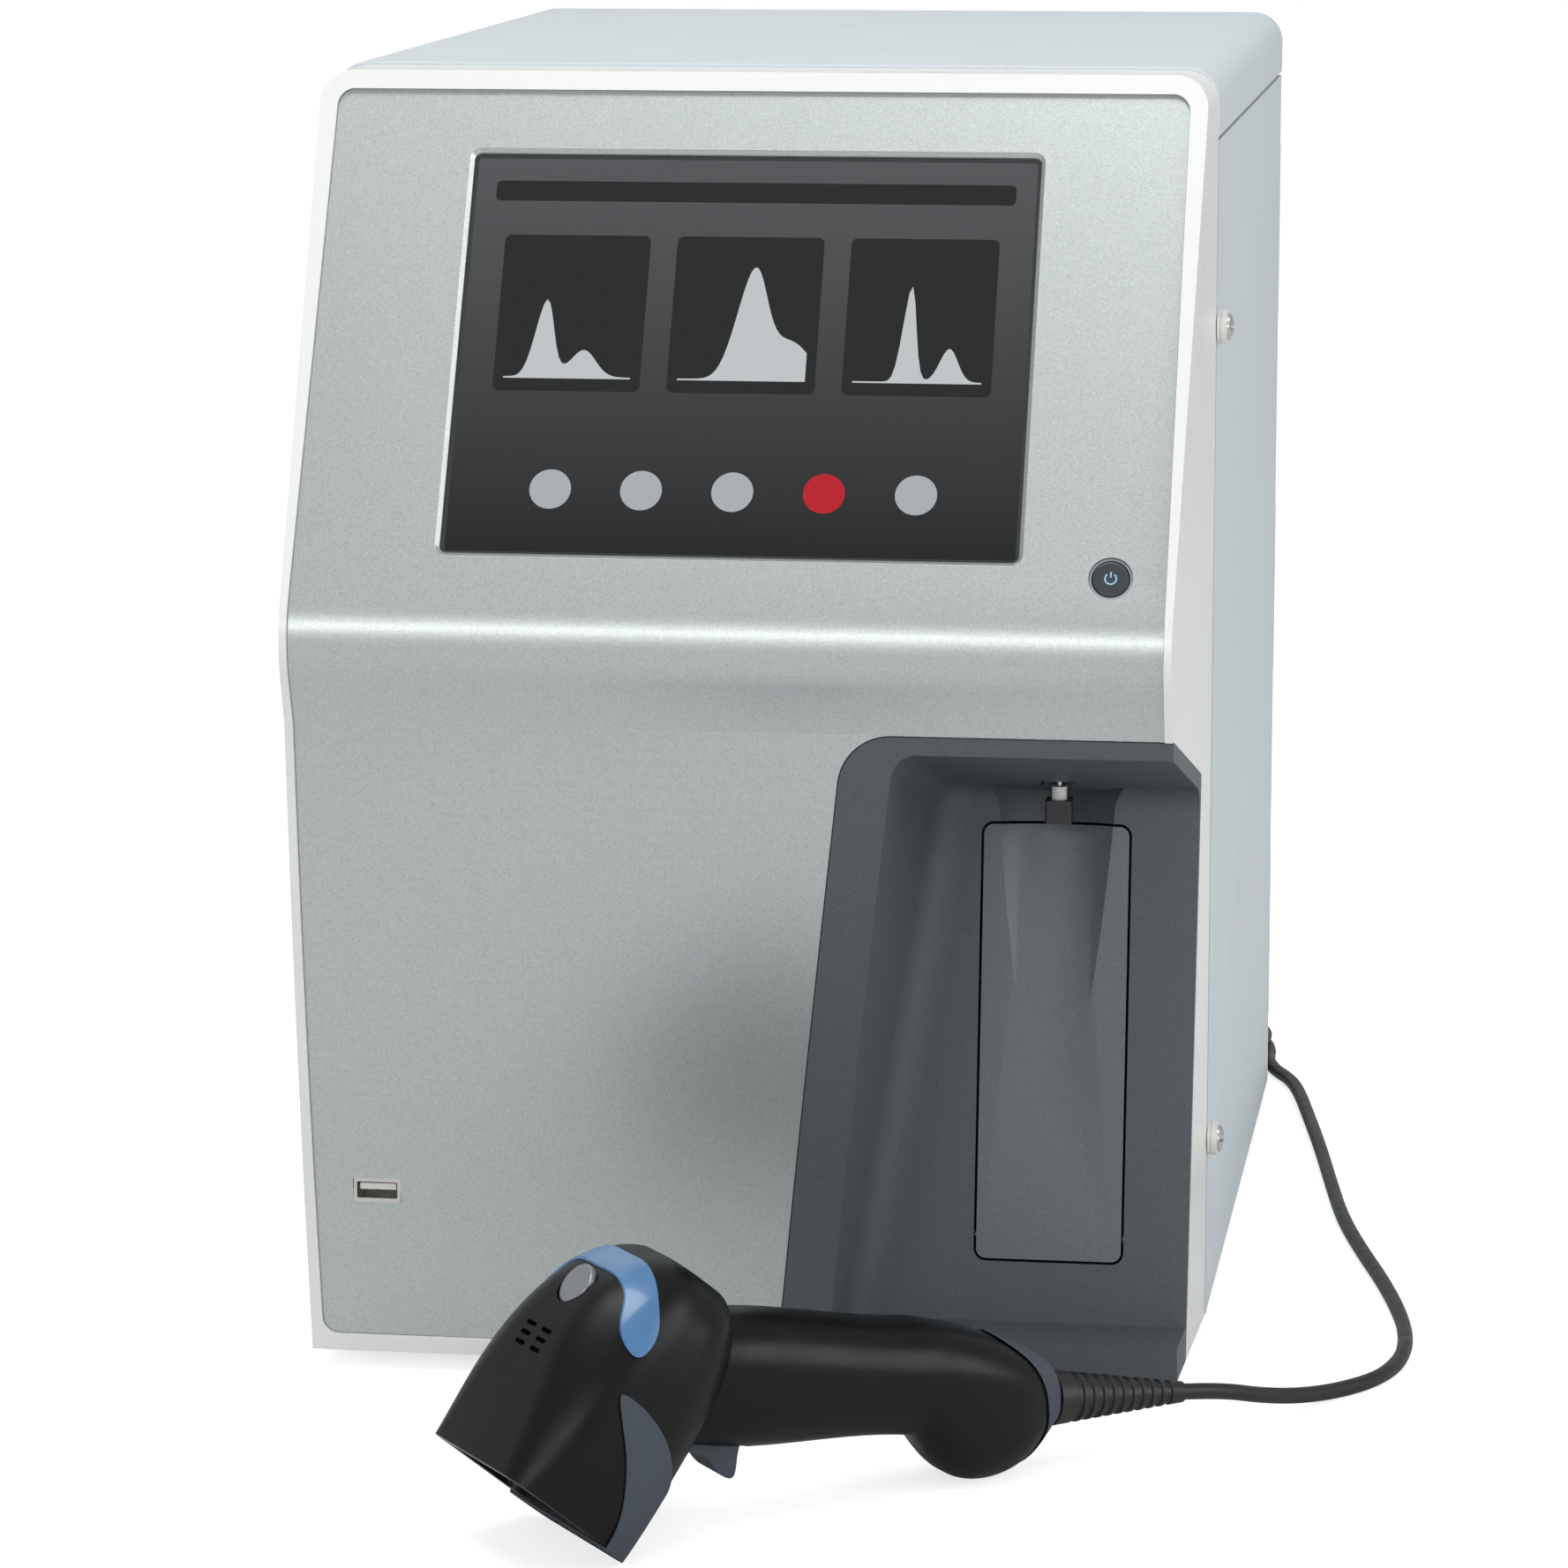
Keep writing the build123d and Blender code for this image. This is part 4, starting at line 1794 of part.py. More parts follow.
def relief_radius(distance):
    return relief_wide + (relief_narrow - relief_wide) * distance / relief_length


relief_profile = [(0, 0), (relief_wide, 0), (relief_radius(relief_base), relief_base)]
for rib in range(relief_ribs - 1):
    rib_at = relief_base + rib * rib_pitch
    relief_profile += [
        (relief_radius(rib_at) - relief_groove, rib_at + 0.1 * rib_pitch),
        (relief_radius(rib_at) - relief_groove, rib_at + 0.5 * rib_pitch),
        (relief_radius(rib_at + 0.6 * rib_pitch), rib_at + 0.6 * rib_pitch),
        (relief_radius(rib_at + rib_pitch), rib_at + rib_pitch),
    ]
relief_profile += [(relief_narrow, relief_length), (0, relief_length)]
with BuildPart() as scanner_strain_relief:
    with BuildSketch(Plane(origin=relief_plane.origin, x_dir=side_dir, z_dir=side_dir.cross(relief_axis))):
        with BuildLine():
            Polyline(*relief_profile, close=True)
        make_face()
    revolve(axis=Axis(relief_plane.origin, relief_axis))
scanner_strain_relief.part.label = "scanner_strain_relief"
export_step(scanner_strain_relief.part, "parts/scanner_strain_relief.step")

# Scanner cord: along the bench past the analyzer's right side to a coil behind it, then up to a rear socket
cord_radius = 2.4
cord_lie = [
    (136.2, -219.2, 14.7), (147.3, -210.9, 13.2), (158.5, -197.5, 8.0), (169.8, -182.5, 4.0), (181.0, -168.9, 2.4),
    (191.7, -154.5, 2.4), (197.2, -133.6, 2.4), (197.6, -109.0, 2.4), (194.4, -82.3, 2.4), (188.0, -47.8, 2.4),
    (179.1, -9.1, 2.4), (171.1, 30.4, 2.4), (164.9, 77.0, 2.4), (158.8, 125.4, 2.4), (152.0, 172.5, 2.4),
    (146.7, 208.2, 2.4), (141.0, 227.5, 2.4), (131.5, 241.0, 2.4), (126.8, 257.0, 2.4), (126.4, 274.0, 2.4),
]
cord_rise = [
    (60.0, 262.0, 70.0), (60.0, 276.0, 70.0), (60.0, 289.9, 62.0), (60.0, 297.9, 48.1), (60.0, 297.9, 34.0),
    (67.0, 298.3, 20.5), (79.5, 299.5, 12.9), (95.0, 301.2, 12.0),
]
coil_centre = (100.0, 275.0)
coil_radius = 26.5
coil_width = 10.0
coil_height = 14.4
with BuildPart() as scanner_cord:
    add(tube_along(cord_lie, cord_radius))
    add(tube_along(cord_rise, cord_radius))
scanner_cord.part.label = "scanner_cord"
export_step(scanner_cord.part, "parts/scanner_cord.step")
print("cord radii", [round(radius) for radius in bend_radii(cord_lie) + bend_radii(cord_rise)])

with BuildPart() as scanner_cord_coil:
    with BuildSketch(Plane(origin=(*coil_centre, 0), x_dir=(1, 0, 0), z_dir=(0, -1, 0))):
        with Locations((coil_radius, coil_height / 2)):
            RectangleRounded(coil_width, coil_height, cord_radius)
    revolve(axis=Axis((*coil_centre, 0), (0, 0, 1)))
scanner_cord_coil.part.label = "scanner_cord_coil"
export_step(scanner_cord_coil.part, "parts/scanner_cord_coil.step")

# Plug: a metal shell in the rear socket, a moulded grip and a tapered sleeve
plug_shell_width = 12.0
plug_shell_height = 4.5
plug_shell_wall = 0.3
plug_insert = 11.4
plug_grip_width = 16.0
plug_grip_height = 8.0
plug_grip_start = rear_y + 1.0
plug_grip_end = 246.0
plug_tail_radius = 3.6
plug_tip = cord_rise[0]
plug_bar = 1.6
plug_face = Plane.XZ.offset(-plug_grip_start)
with BuildPart() as scanner_plug:
    with BuildSketch(plug_face):
        with Locations((port_row_x, port_row_z)):
            RectangleRounded(plug_grip_width, plug_grip_height, 2.5)
    extrude(amount=-(plug_grip_end - plug_grip_start))
    fillet(scanner_plug.faces().sort_by(Axis.Y)[-1].edges(), 1.5)
    with BuildSketch(plug_face):
        with Locations((port_row_x, port_row_z)):
            Rectangle(plug_shell_width, plug_shell_height)
            with Locations((0, plug_bar / 2)):
                Rectangle(plug_shell_width - 2 * plug_shell_wall, plug_shell_height - 2 * plug_shell_wall - plug_bar,
                          mode=Mode.SUBTRACT)
    extrude(amount=plug_insert + 1.0)
    with BuildSketch(Plane(origin=(port_row_x, plug_grip_end - 1, port_row_z), x_dir=(1, 0, 0), z_dir=(0, 1, 0))):
        Circle(plug_tail_radius)
    with BuildSketch(Plane(origin=plug_tip, x_dir=(1, 0, 0), z_dir=(0, 1, 0))):
        Circle(cord_radius + 0.3)
    loft()
scanner_plug.part.label = "scanner_plug"
export_step(scanner_plug.part, "parts/scanner_plug.step")
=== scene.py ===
# %% [markdown]
# A bench-top hematology analyzer and its corded hand scanner, dressed for a studio picture.
# The solids come from a construction program as a fixed frame: their places and sizes are right already.
# This lesson gives them light, a camera, real surfaces and the rounded, soft details of moulded parts.

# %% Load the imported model
import json
import math

import bmesh
import bpy
from mathutils import Matrix, Vector

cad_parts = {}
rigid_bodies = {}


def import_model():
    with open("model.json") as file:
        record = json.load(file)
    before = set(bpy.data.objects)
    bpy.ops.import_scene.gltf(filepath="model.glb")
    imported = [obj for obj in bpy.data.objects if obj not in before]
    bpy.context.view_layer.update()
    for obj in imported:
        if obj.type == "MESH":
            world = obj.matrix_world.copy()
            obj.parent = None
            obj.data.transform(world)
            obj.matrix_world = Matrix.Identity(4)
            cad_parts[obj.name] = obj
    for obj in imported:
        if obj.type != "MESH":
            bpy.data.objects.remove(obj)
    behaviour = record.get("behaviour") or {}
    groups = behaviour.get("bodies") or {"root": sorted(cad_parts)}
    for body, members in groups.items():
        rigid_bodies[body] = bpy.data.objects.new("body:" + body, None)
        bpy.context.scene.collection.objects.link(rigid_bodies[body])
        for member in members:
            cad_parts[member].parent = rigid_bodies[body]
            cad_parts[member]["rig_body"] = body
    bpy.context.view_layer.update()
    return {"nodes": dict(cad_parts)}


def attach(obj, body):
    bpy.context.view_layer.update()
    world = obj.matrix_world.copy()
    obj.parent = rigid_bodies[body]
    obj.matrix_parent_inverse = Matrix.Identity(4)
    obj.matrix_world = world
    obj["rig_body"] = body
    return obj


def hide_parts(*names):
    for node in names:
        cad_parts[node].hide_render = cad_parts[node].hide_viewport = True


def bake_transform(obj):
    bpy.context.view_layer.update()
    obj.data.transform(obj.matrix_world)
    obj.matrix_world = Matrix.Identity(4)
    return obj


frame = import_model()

# %% [markdown]
# The camera comes first, because everything else is judged through it.
# The photograph was taken with a long lens from a little right of the middle and a little above the screen.
# Its place was found by matching the corners of the cabinet to the photograph.

# %% Camera
camera_place = Vector((0.2540, -1.8400, 0.4976))
camera_yaw = 0.1438
camera_pitch = 0.1844
camera_roll = -0.0018
camera_lens = 132.36
camera_sensor = 36.0

camera_data = bpy.data.cameras.new("studio_camera")
camera_data.lens = camera_lens
camera_data.sensor_width = camera_sensor
camera = bpy.data.objects.new("studio_camera", camera_data)
bpy.context.scene.collection.objects.link(camera)
turn = Matrix.Rotation(camera_yaw, 4, "Z") @ Matrix.Rotation(math.pi / 2 - camera_pitch, 4, "X")
camera.matrix_world = Matrix.Translation(camera_place) @ turn @ Matrix.Rotation(camera_roll, 4, "Z")
bpy.context.scene.camera = camera
print("camera looks along", [round(-value, 3) for value in turn.col[2][:3]])

# %% [markdown]
# A studio table: one wide pale sheet under the object. Seen directly it is white, like the background
# of a catalogue picture, but it still catches the soft shadow.

# %% Floor
floor_half = 6.0
floor_colour = (0.68, 0.68, 0.68, 1)
floor_roughness = 0.75
floor_glow_strength = 0.7
floor_form = bmesh.new()
bmesh.ops.create_grid(floor_form, x_segments=1, y_segments=1, size=floor_half)
floor_mesh = bpy.data.meshes.new("studio_floor")
floor_form.to_mesh(floor_mesh)
floor_form.free()
floor = bpy.data.objects.new("studio_floor", floor_mesh)
bpy.context.scene.collection.objects.link(floor)

floor_finish = bpy.data.materials.new("studio_floor")
floor_finish.use_nodes = True
floor_nodes = floor_finish.node_tree.nodes
floor_shader = floor_nodes["Principled BSDF"]
floor_shader.inputs["Base Color"].default_value = floor_colour
floor_shader.inputs["Roughness"].default_value = floor_roughness
floor_glow = floor_nodes.new("ShaderNodeEmission")
floor_glow.inputs["Strength"].default_value = floor_glow_strength
floor_path = floor_nodes.new("ShaderNodeLightPath")
floor_dark = floor_nodes.new("ShaderNodeEmission")
floor_dark.inputs["Strength"].default_value = 0.0
floor_choice = floor_nodes.new("ShaderNodeMixShader")
floor_sum = floor_nodes.new("ShaderNodeAddShader")
floor_links = floor_finish.node_tree.links
floor_links.new(floor_path.outputs["Is Camera Ray"], floor_choice.inputs["Fac"])
floor_links.new(floor_dark.outputs[0], floor_choice.inputs[1])
floor_links.new(floor_glow.outputs[0], floor_choice.inputs[2])
floor_links.new(floor_choice.outputs[0], floor_sum.inputs[0])
floor_links.new(floor_shader.outputs[0], floor_sum.inputs[1])
floor_links.new(floor_sum.outputs[0], floor_nodes["Material Output"].inputs["Surface"])
floor.data.materials.append(floor_finish)

# %% [markdown]
# The room is white where the camera or a clear piece sees it. It is greyer where a gloss mirrors it and
# where it only gives light, which keeps the background clean without washing the pale covers out.

# %% Room
light_strength = 0.52
seen_strength = 1.0
gloss_strength = 0.5
room = bpy.data.worlds.new("studio_room")
bpy.context.scene.world = room
room.use_nodes = True
room_nodes = room.node_tree.nodes
room_links = room.node_tree.links
room_light = room_nodes["Background"]
room_light.inputs["Color"].default_value = (0.97, 0.985, 1.0, 1)
room_light.inputs["Strength"].default_value = light_strength
room_seen = room_nodes.new("ShaderNodeBackground")
room_seen.inputs["Color"].default_value = (1, 1, 1, 1)
room_seen.inputs["Strength"].default_value = seen_strength
room_gloss = room_nodes.new("ShaderNodeBackground")
room_gloss.inputs["Color"].default_value = (0.97, 0.98, 1.0, 1)
room_gloss.inputs["Strength"].default_value = gloss_strength
room_path = room_nodes.new("ShaderNodeLightPath")
room_clear = room_nodes.new("ShaderNodeMath")
room_clear.operation = "MAXIMUM"
room_first = room_nodes.new("ShaderNodeMixShader")
room_second = room_nodes.new("ShaderNodeMixShader")
room_links.new(room_path.outputs["Is Camera Ray"], room_clear.inputs[0])
room_links.new(room_path.outputs["Is Transmission Ray"], room_clear.inputs[1])
room_links.new(room_path.outputs["Is Glossy Ray"], room_first.inputs["Fac"])
room_links.new(room_light.outputs[0], room_first.inputs[1])
room_links.new(room_gloss.outputs[0], room_first.inputs[2])
room_links.new(room_clear.outputs[0], room_second.inputs["Fac"])
room_links.new(room_first.outputs[0], room_second.inputs[1])
room_links.new(room_seen.outputs[0], room_second.inputs[2])
room_links.new(room_second.outputs[0], room_nodes["World Output"].inputs["Surface"])
bpy.context.scene.view_settings.view_transform = "Standard"

# %% [markdown]
# Four soft lamps. The main one hangs high over the front, so the sloped display panel is bright and the
# panel under the nose falls into shade as it leans away. A long strip above the camera draws the
# highlight along the rounded nose. One from the right opens up the service door, and a weak one from
# behind lifts the top cover's edge. Each lamp points at the spot that it is meant for.


# %% Lamps
def soft_lamp(name, place, target, size, power):
    """A rectangular lamp that shines from its place towards a target."""
    data = bpy.data.lights.new(name, "AREA")
    data.shape = "RECTANGLE"
    data.size = size[0]
    data.size_y = size[1]
    data.energy = power
    lamp = bpy.data.objects.new(name, data)
    bpy.context.scene.collection.objects.link(lamp)
    lamp.location = place
    lamp.rotation_euler = (Vector(target) - Vector(place)).to_track_quat("-Z", "Y").to_euler()
    return lamp


front_spot = (0, -0.15, 0.25)
nose_spot = (0, -0.24, 0.25)
door_spot = (0.1, 0, 0.2)
cover_spot = (0, 0.1, 0.35)
soft_lamp("high_front", place=(-0.25, -0.55, 2.1), target=front_spot, size=(1.8, 0.7), power=18)
soft_lamp("nose_strip", place=(-0.3, -2.6, 0.98), target=nose_spot, size=(2.4, 0.22), power=13)
soft_lamp("right_side", place=(1.9, -0.7, 0.9), target=door_spot, size=(1.2, 1.2), power=14)
soft_lamp("behind_top", place=(-0.5, 1.3, 1.8), target=cover_spot, size=(1.4, 0.6), power=4)

# %% [markdown]
# Every surface is a Principled shader with patterns worked out from the object's own coordinates.
# These small helpers each add one thing a maker would name: a mould grain, a slight unevenness of
# colour, or fine brushed lines. Sizes are in metres, so a grain of 0.0005 is half a millimetre.
# A noise pattern's values mostly lie between 0.3 and 0.7, so that band is stretched to the whole effect.

# %% Helpers for finishes
noise_low = 0.3
noise_high = 0.7


def finish(name, colour, roughness, metallic=0.0, coat=0.0, coat_roughness=0.1, specular=0.5):
    """A plain surface of one colour, which the helpers below make less even."""
    material = bpy.data.materials.new(name)
    material.use_nodes = True
    shader = material.node_tree.nodes["Principled BSDF"]
    shader.inputs["Base Color"].default_value = (*colour, 1)
    shader.inputs["Roughness"].default_value = roughness
    shader.inputs["Metallic"].default_value = metallic
    shader.inputs["Coat Weight"].default_value = coat
    shader.inputs["Coat Roughness"].default_value = coat_roughness
    shader.inputs["Specular IOR Level"].default_value = specular
    return material


def noise_on(material, size, stretch=(1, 1, 1), detail=2.0):
    """A noise pattern in the material, whose blobs have about the given size."""
    nodes = material.node_tree.nodes
    links = material.node_tree.links
    place = nodes.new("ShaderNodeTexCoord")
    turned = nodes.new("ShaderNodeMapping")
    turned.inputs["Scale"].default_value = stretch
    noise = nodes.new("ShaderNodeTexNoise")
    noise.inputs["Scale"].default_value = 1 / size
    noise.inputs["Detail"].default_value = detail
    links.new(place.outputs["Object"], turned.inputs["Vector"])
    links.new(turned.outputs["Vector"], noise.inputs["Vector"])
    return noise


def grain(material, size, depth, stretch=(1, 1, 1), detail=2.0):
    """Small hills and valleys all over, as a mould's etched texture or a paint's orange peel gives."""
    noise = noise_on(material, size, stretch, detail)
    bump = material.node_tree.nodes.new("ShaderNodeBump")
    bump.inputs["Strength"].default_value = 1.0
    bump.inputs["Distance"].default_value = depth
    links = material.node_tree.links
    links.new(noise.outputs["Fac"], bump.inputs["Height"])
    links.new(bump.outputs["Normal"], material.node_tree.nodes["Principled BSDF"].inputs["Normal"])
    return material


def mottle(material, size, share, stretch=(1, 1, 1)):
    """Colour that drifts a little lighter and darker over a distance."""
    nodes = material.node_tree.nodes
    base = nodes["Principled BSDF"].inputs["Base Color"].default_value[:3]
    noise = noise_on(material, size, stretch, detail=3.0)
    ramp = nodes.new("ShaderNodeValToRGB")
    ramp.color_ramp.elements[0].position = noise_low
    ramp.color_ramp.elements[1].position = noise_high
    ramp.color_ramp.elements[0].color = (*[channel * (1 - share) for channel in base], 1)
    ramp.color_ramp.elements[1].color = (*[min(1.0, channel * (1 + share)) for channel in base], 1)
    material.node_tree.links.new(noise.outputs["Fac"], ramp.inputs["Fac"])
    material.node_tree.links.new(ramp.outputs["Color"], nodes["Principled BSDF"].inputs["Base Color"])
    return material


def uneven_gloss(material, size, low, high, stretch=(1, 1, 1)):
    """Roughness that wanders between two values, as handling and moulding leave it."""
    noise = noise_on(material, size, stretch, detail=3.0)
    spread = material.node_tree.nodes.new("ShaderNodeMapRange")
    spread.inputs["From Min"].default_value = noise_low
    spread.inputs["From Max"].default_value = noise_high
    spread.inputs["To Min"].default_value = low
    spread.inputs["To Max"].default_value = high
    links = material.node_tree.links
    links.new(noise.outputs["Fac"], spread.inputs["Value"])
    links.new(spread.outputs["Result"], material.node_tree.nodes["Principled BSDF"].inputs["Roughness"])
    return material


# %% [markdown]
# The cabinet's finishes. The bezel is a warm white glossy moulding. The covers are sheet steel with a
# light blue-grey powder coat, whose tiny orange peel only shows where a highlight crosses it.

# %% Cabinet finishes
bezel_white = finish("bezel_white", (0.82, 0.825, 0.80), 0.30, coat=0.25)
uneven_gloss(bezel_white, 0.05, 0.26, 0.36)
grain(bezel_white, 0.004, 0.00001)

panel_grey = finish("panel_grey", (0.60, 0.655, 0.685), 0.5)
mottle(panel_grey, 0.12, 0.015)
uneven_gloss(panel_grey, 0.02, 0.44, 0.54)
grain(panel_grey, 0.0013, 0.00005)

# %% [markdown]
# The fascia is painted with silver flakes under a clear coat. A cell pattern stands for the flakes:
# each cell, a third of a millimetre across, is a little lighter or darker than the next one.

# %% Silver flake paint
flakes_per_metre = 3000.0
dark_flake = (0.43, 0.465, 0.46, 1)
bright_flake = (0.60, 0.64, 0.635, 1)
fascia_silver = finish("fascia_silver", (0.50, 0.54, 0.535), 0.33, metallic=0.65, coat=0.35,
                       coat_roughness=0.2)
flake_nodes = fascia_silver.node_tree.nodes
flake_place = flake_nodes.new("ShaderNodeTexCoord")
flake_cells = flake_nodes.new("ShaderNodeTexVoronoi")
flake_cells.inputs["Scale"].default_value = flakes_per_metre
flake_tone = flake_nodes.new("ShaderNodeValToRGB")
flake_tone.color_ramp.elements[0].color = dark_flake
flake_tone.color_ramp.elements[1].color = bright_flake
flake_links = fascia_silver.node_tree.links
flake_links.new(flake_place.outputs["Object"], flake_cells.inputs["Vector"])
flake_links.new(flake_cells.outputs["Color"], flake_tone.inputs["Fac"])
flake_links.new(flake_tone.outputs["Color"], flake_nodes["Principled BSDF"].inputs["Base Color"])
grain(fascia_silver, 0.0009, 0.00002)

# %% [markdown]
# The port and the start plate are charcoal plastic from a spark-eroded mould: matte, with a fine even
# grain. The plate is a little smoother, because fingers keep it polished. Its lighter colour is painted
# light:
# it stands in for the light from the front that falls on the plate.

# %% Charcoal mouldings
port_charcoal = finish("port_charcoal", (0.078, 0.090, 0.101), 0.5)
mottle(port_charcoal, 0.0006, 0.14)
grain(port_charcoal, 0.0007, 0.00006)

# Painted light: the plate's base colour is lighter than the port's to stand in for the front light on it.
plate_charcoal = finish("plate_charcoal", (0.125, 0.148, 0.160), 0.46)
mottle(plate_charcoal, 0.0006, 0.14)
grain(plate_charcoal, 0.0007, 0.00005)

# %% [markdown]
# The hand scanner is satin black plastic with soft slate rubber inserts. Its light strip is clear blue
# plastic with a lamp behind it, and the cord is black vinyl with the dull shine that vinyl has.

# %% Scanner finishes
scanner_black = finish("scanner_black", (0.003, 0.0033, 0.0036), 0.31, specular=0.24)
uneven_gloss(scanner_black, 0.01, 0.29, 0.37)
grain(scanner_black, 0.0006, 0.00002)

scanner_slate = finish("scanner_slate", (0.042, 0.055, 0.070), 0.58)
mottle(scanner_slate, 0.001, 0.08)
grain(scanner_slate, 0.0005, 0.00003)

light_blue = finish("light_blue", (0.06, 0.17, 0.34), 0.25, coat=0.5)
strip_shader = light_blue.node_tree.nodes["Principled BSDF"]
strip_shader.inputs["Emission Color"].default_value = (0.12, 0.32, 0.8, 1)
strip_shader.inputs["Emission Strength"].default_value = 0.05
mottle(light_blue, 0.02, 0.12)

badge_silver = finish("badge_silver", (0.30, 0.31, 0.33), 0.3, metallic=0.6, coat=0.3)
uneven_gloss(badge_silver, 0.002, 0.26, 0.38)

window_dark = finish("window_dark", (0.03, 0.008, 0.01), 0.06, coat=1.0, coat_roughness=0.03)
uneven_gloss(window_dark, 0.02, 0.05, 0.12)

cord_black = finish("cord_black", (0.008, 0.008, 0.009), 0.42)
uneven_gloss(cord_black, 0.004, 0.36, 0.5)
grain(cord_black, 0.0008, 0.00003)

# %% [markdown]
# Metals, rubbers and plastics of the parts that are seen less: the feet, the screws, the sockets and
# everything behind the service door. Brushed metals get their lines from noise that is stretched one way.

# %% Other finishes
steel = finish("steel", (0.62, 0.62, 0.61), 0.28, metallic=1.0)
uneven_gloss(steel, 0.0004, 0.2, 0.4, (1, 1, 12))
zinc_sheet = finish("zinc_sheet", (0.52, 0.53, 0.54), 0.42, metallic=0.9)
mottle(zinc_sheet, 0.012, 0.10)
uneven_gloss(zinc_sheet, 0.006, 0.34, 0.52)
aluminium = finish("aluminium", (0.66, 0.67, 0.68), 0.36, metallic=1.0)
uneven_gloss(aluminium, 0.0005, 0.28, 0.46, (1, 1, 10))
socket_steel = finish("socket_steel", (0.64, 0.63, 0.60), 0.24, metallic=1.0)
uneven_gloss(socket_steel, 0.001, 0.2, 0.34, (8, 1, 1))
foot_rubber = finish("foot_rubber", (0.02, 0.02, 0.021), 0.82)
grain(foot_rubber, 0.0005, 0.00005)
black_plastic = finish("black_plastic", (0.020, 0.020, 0.022), 0.46)
grain(black_plastic, 0.0006, 0.00003)
motor_black = finish("motor_black", (0.022, 0.022, 0.024), 0.38)
uneven_gloss(motor_black, 0.004, 0.32, 0.46)
belt_rubber = finish("belt_rubber", (0.016, 0.016, 0.016), 0.7)
grain(belt_rubber, 0.0012, 0.0001, (1, 1, 4))
white_nylon = finish("white_nylon", (0.76, 0.76, 0.73), 0.4)
mottle(white_nylon, 0.004, 0.03)
button_black = finish("button_black", (0.028, 0.032, 0.036), 0.3, coat=0.3)
uneven_gloss(button_black, 0.003, 0.26, 0.36)
switch_ring = finish("switch_ring", (0.30, 0.33, 0.34), 0.35, coat=0.3)
uneven_gloss(switch_ring, 0.003, 0.3, 0.42)
display_black = finish("display_black", (0.012, 0.012, 0.013), 0.5)
grain(display_black, 0.001, 0.00003)
fitting_white = finish("fitting_white", (0.68, 0.68, 0.65), 0.42)
mottle(fitting_white, 0.005, 0.03)
# Painted shade: the near-black block sits where the probe's opening is dark with shade, and stands in for it.
wash_black = finish("wash_black", (0.022, 0.023, 0.026), 0.42)
grain(wash_black, 0.0005, 0.00003)
valve_cream = finish("valve_cream", (0.56, 0.54, 0.46), 0.45)
mottle(valve_cream, 0.006, 0.05)
board_green = finish("board_green", (0.012, 0.13, 0.055), 0.34, coat=0.4)
mottle(board_green, 0.003, 0.35, (1, 1, 3))
bath_acrylic = finish("bath_acrylic", (0.70, 0.73, 0.73), 0.12, coat=0.6)
uneven_gloss(bath_acrylic, 0.01, 0.08, 0.18)
tube_clear = finish("tube_clear", (0.72, 0.74, 0.71), 0.3, coat=0.3)
uneven_gloss(tube_clear, 0.006, 0.24, 0.36)
syringe_glass = finish("syringe_glass", (0.92, 0.95, 0.96), 0.05)
syringe_glass.node_tree.nodes["Principled BSDF"].inputs["Transmission Weight"].default_value = 0.85
uneven_gloss(syringe_glass, 0.01, 0.03, 0.08)
screen_glass = finish("screen_glass", (0.02, 0.021, 0.024), 0.08, coat=1.0, coat_roughness=0.03)
uneven_gloss(screen_glass, 0.03, 0.06, 0.12)

# %% [markdown]
# A solid from the construction program has knife-sharp edges, and no moulded or bent part does.
# So each one is copied, its loose triangles are welded, flat areas are joined into whole faces,
# and a Bevel modifier rounds what is left sharp. The copy then stands for the solid and rides on its body.
# Small inner parts keep their own mesh and only get their finish.

# %% Helper that rounds a solid's edges
weld_distance = 0.000002
flat_angle = math.radians(0.4)
sharp_angle = math.radians(32.0)
rounding_steps = 3


def rounded_piece(node, finish_used, radius):
    """A copy of a solid with its sharp edges rounded, which takes the solid's place."""
    source = frame["nodes"][node]
    form = bmesh.new()
    form.from_mesh(source.data)
    bmesh.ops.remove_doubles(form, verts=form.verts, dist=weld_distance)
    bmesh.ops.dissolve_limit(form, angle_limit=flat_angle, verts=form.verts, edges=form.edges)
    for face in form.faces:
        face.smooth = True
    for edge in form.edges:
        edge.smooth = edge.calc_face_angle(0.0) < sharp_angle
    mesh = bpy.data.meshes.new(f"{node}_dressed")
    form.to_mesh(mesh)
    form.free()
    if "custom_normal" in mesh.attributes:
        mesh.attributes.remove(mesh.attributes["custom_normal"])
    mesh.materials.clear()
    mesh.materials.append(finish_used)
    piece = bpy.data.objects.new(f"{node}_dressed", mesh)
    bpy.context.scene.collection.objects.link(piece)
    soften = piece.modifiers.new("rounded_edges", "BEVEL")
    soften.affect = "EDGES"
    soften.width = radius
    soften.segments = rounding_steps
    soften.profile = 0.5
    soften.material = -1
    soften.limit_method = "ANGLE"
    soften.angle_limit = sharp_angle
    soften.harden_normals = True
    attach(piece, source["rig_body"])
    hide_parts(node)
    return piece


# %% [markdown]
# These pieces are seen from close by. Each has its finish, the slot that it fills and the radius of its
# edges: the thick bezel moulding is rounded by nearly a millimetre, the bent sheets by about half of one.

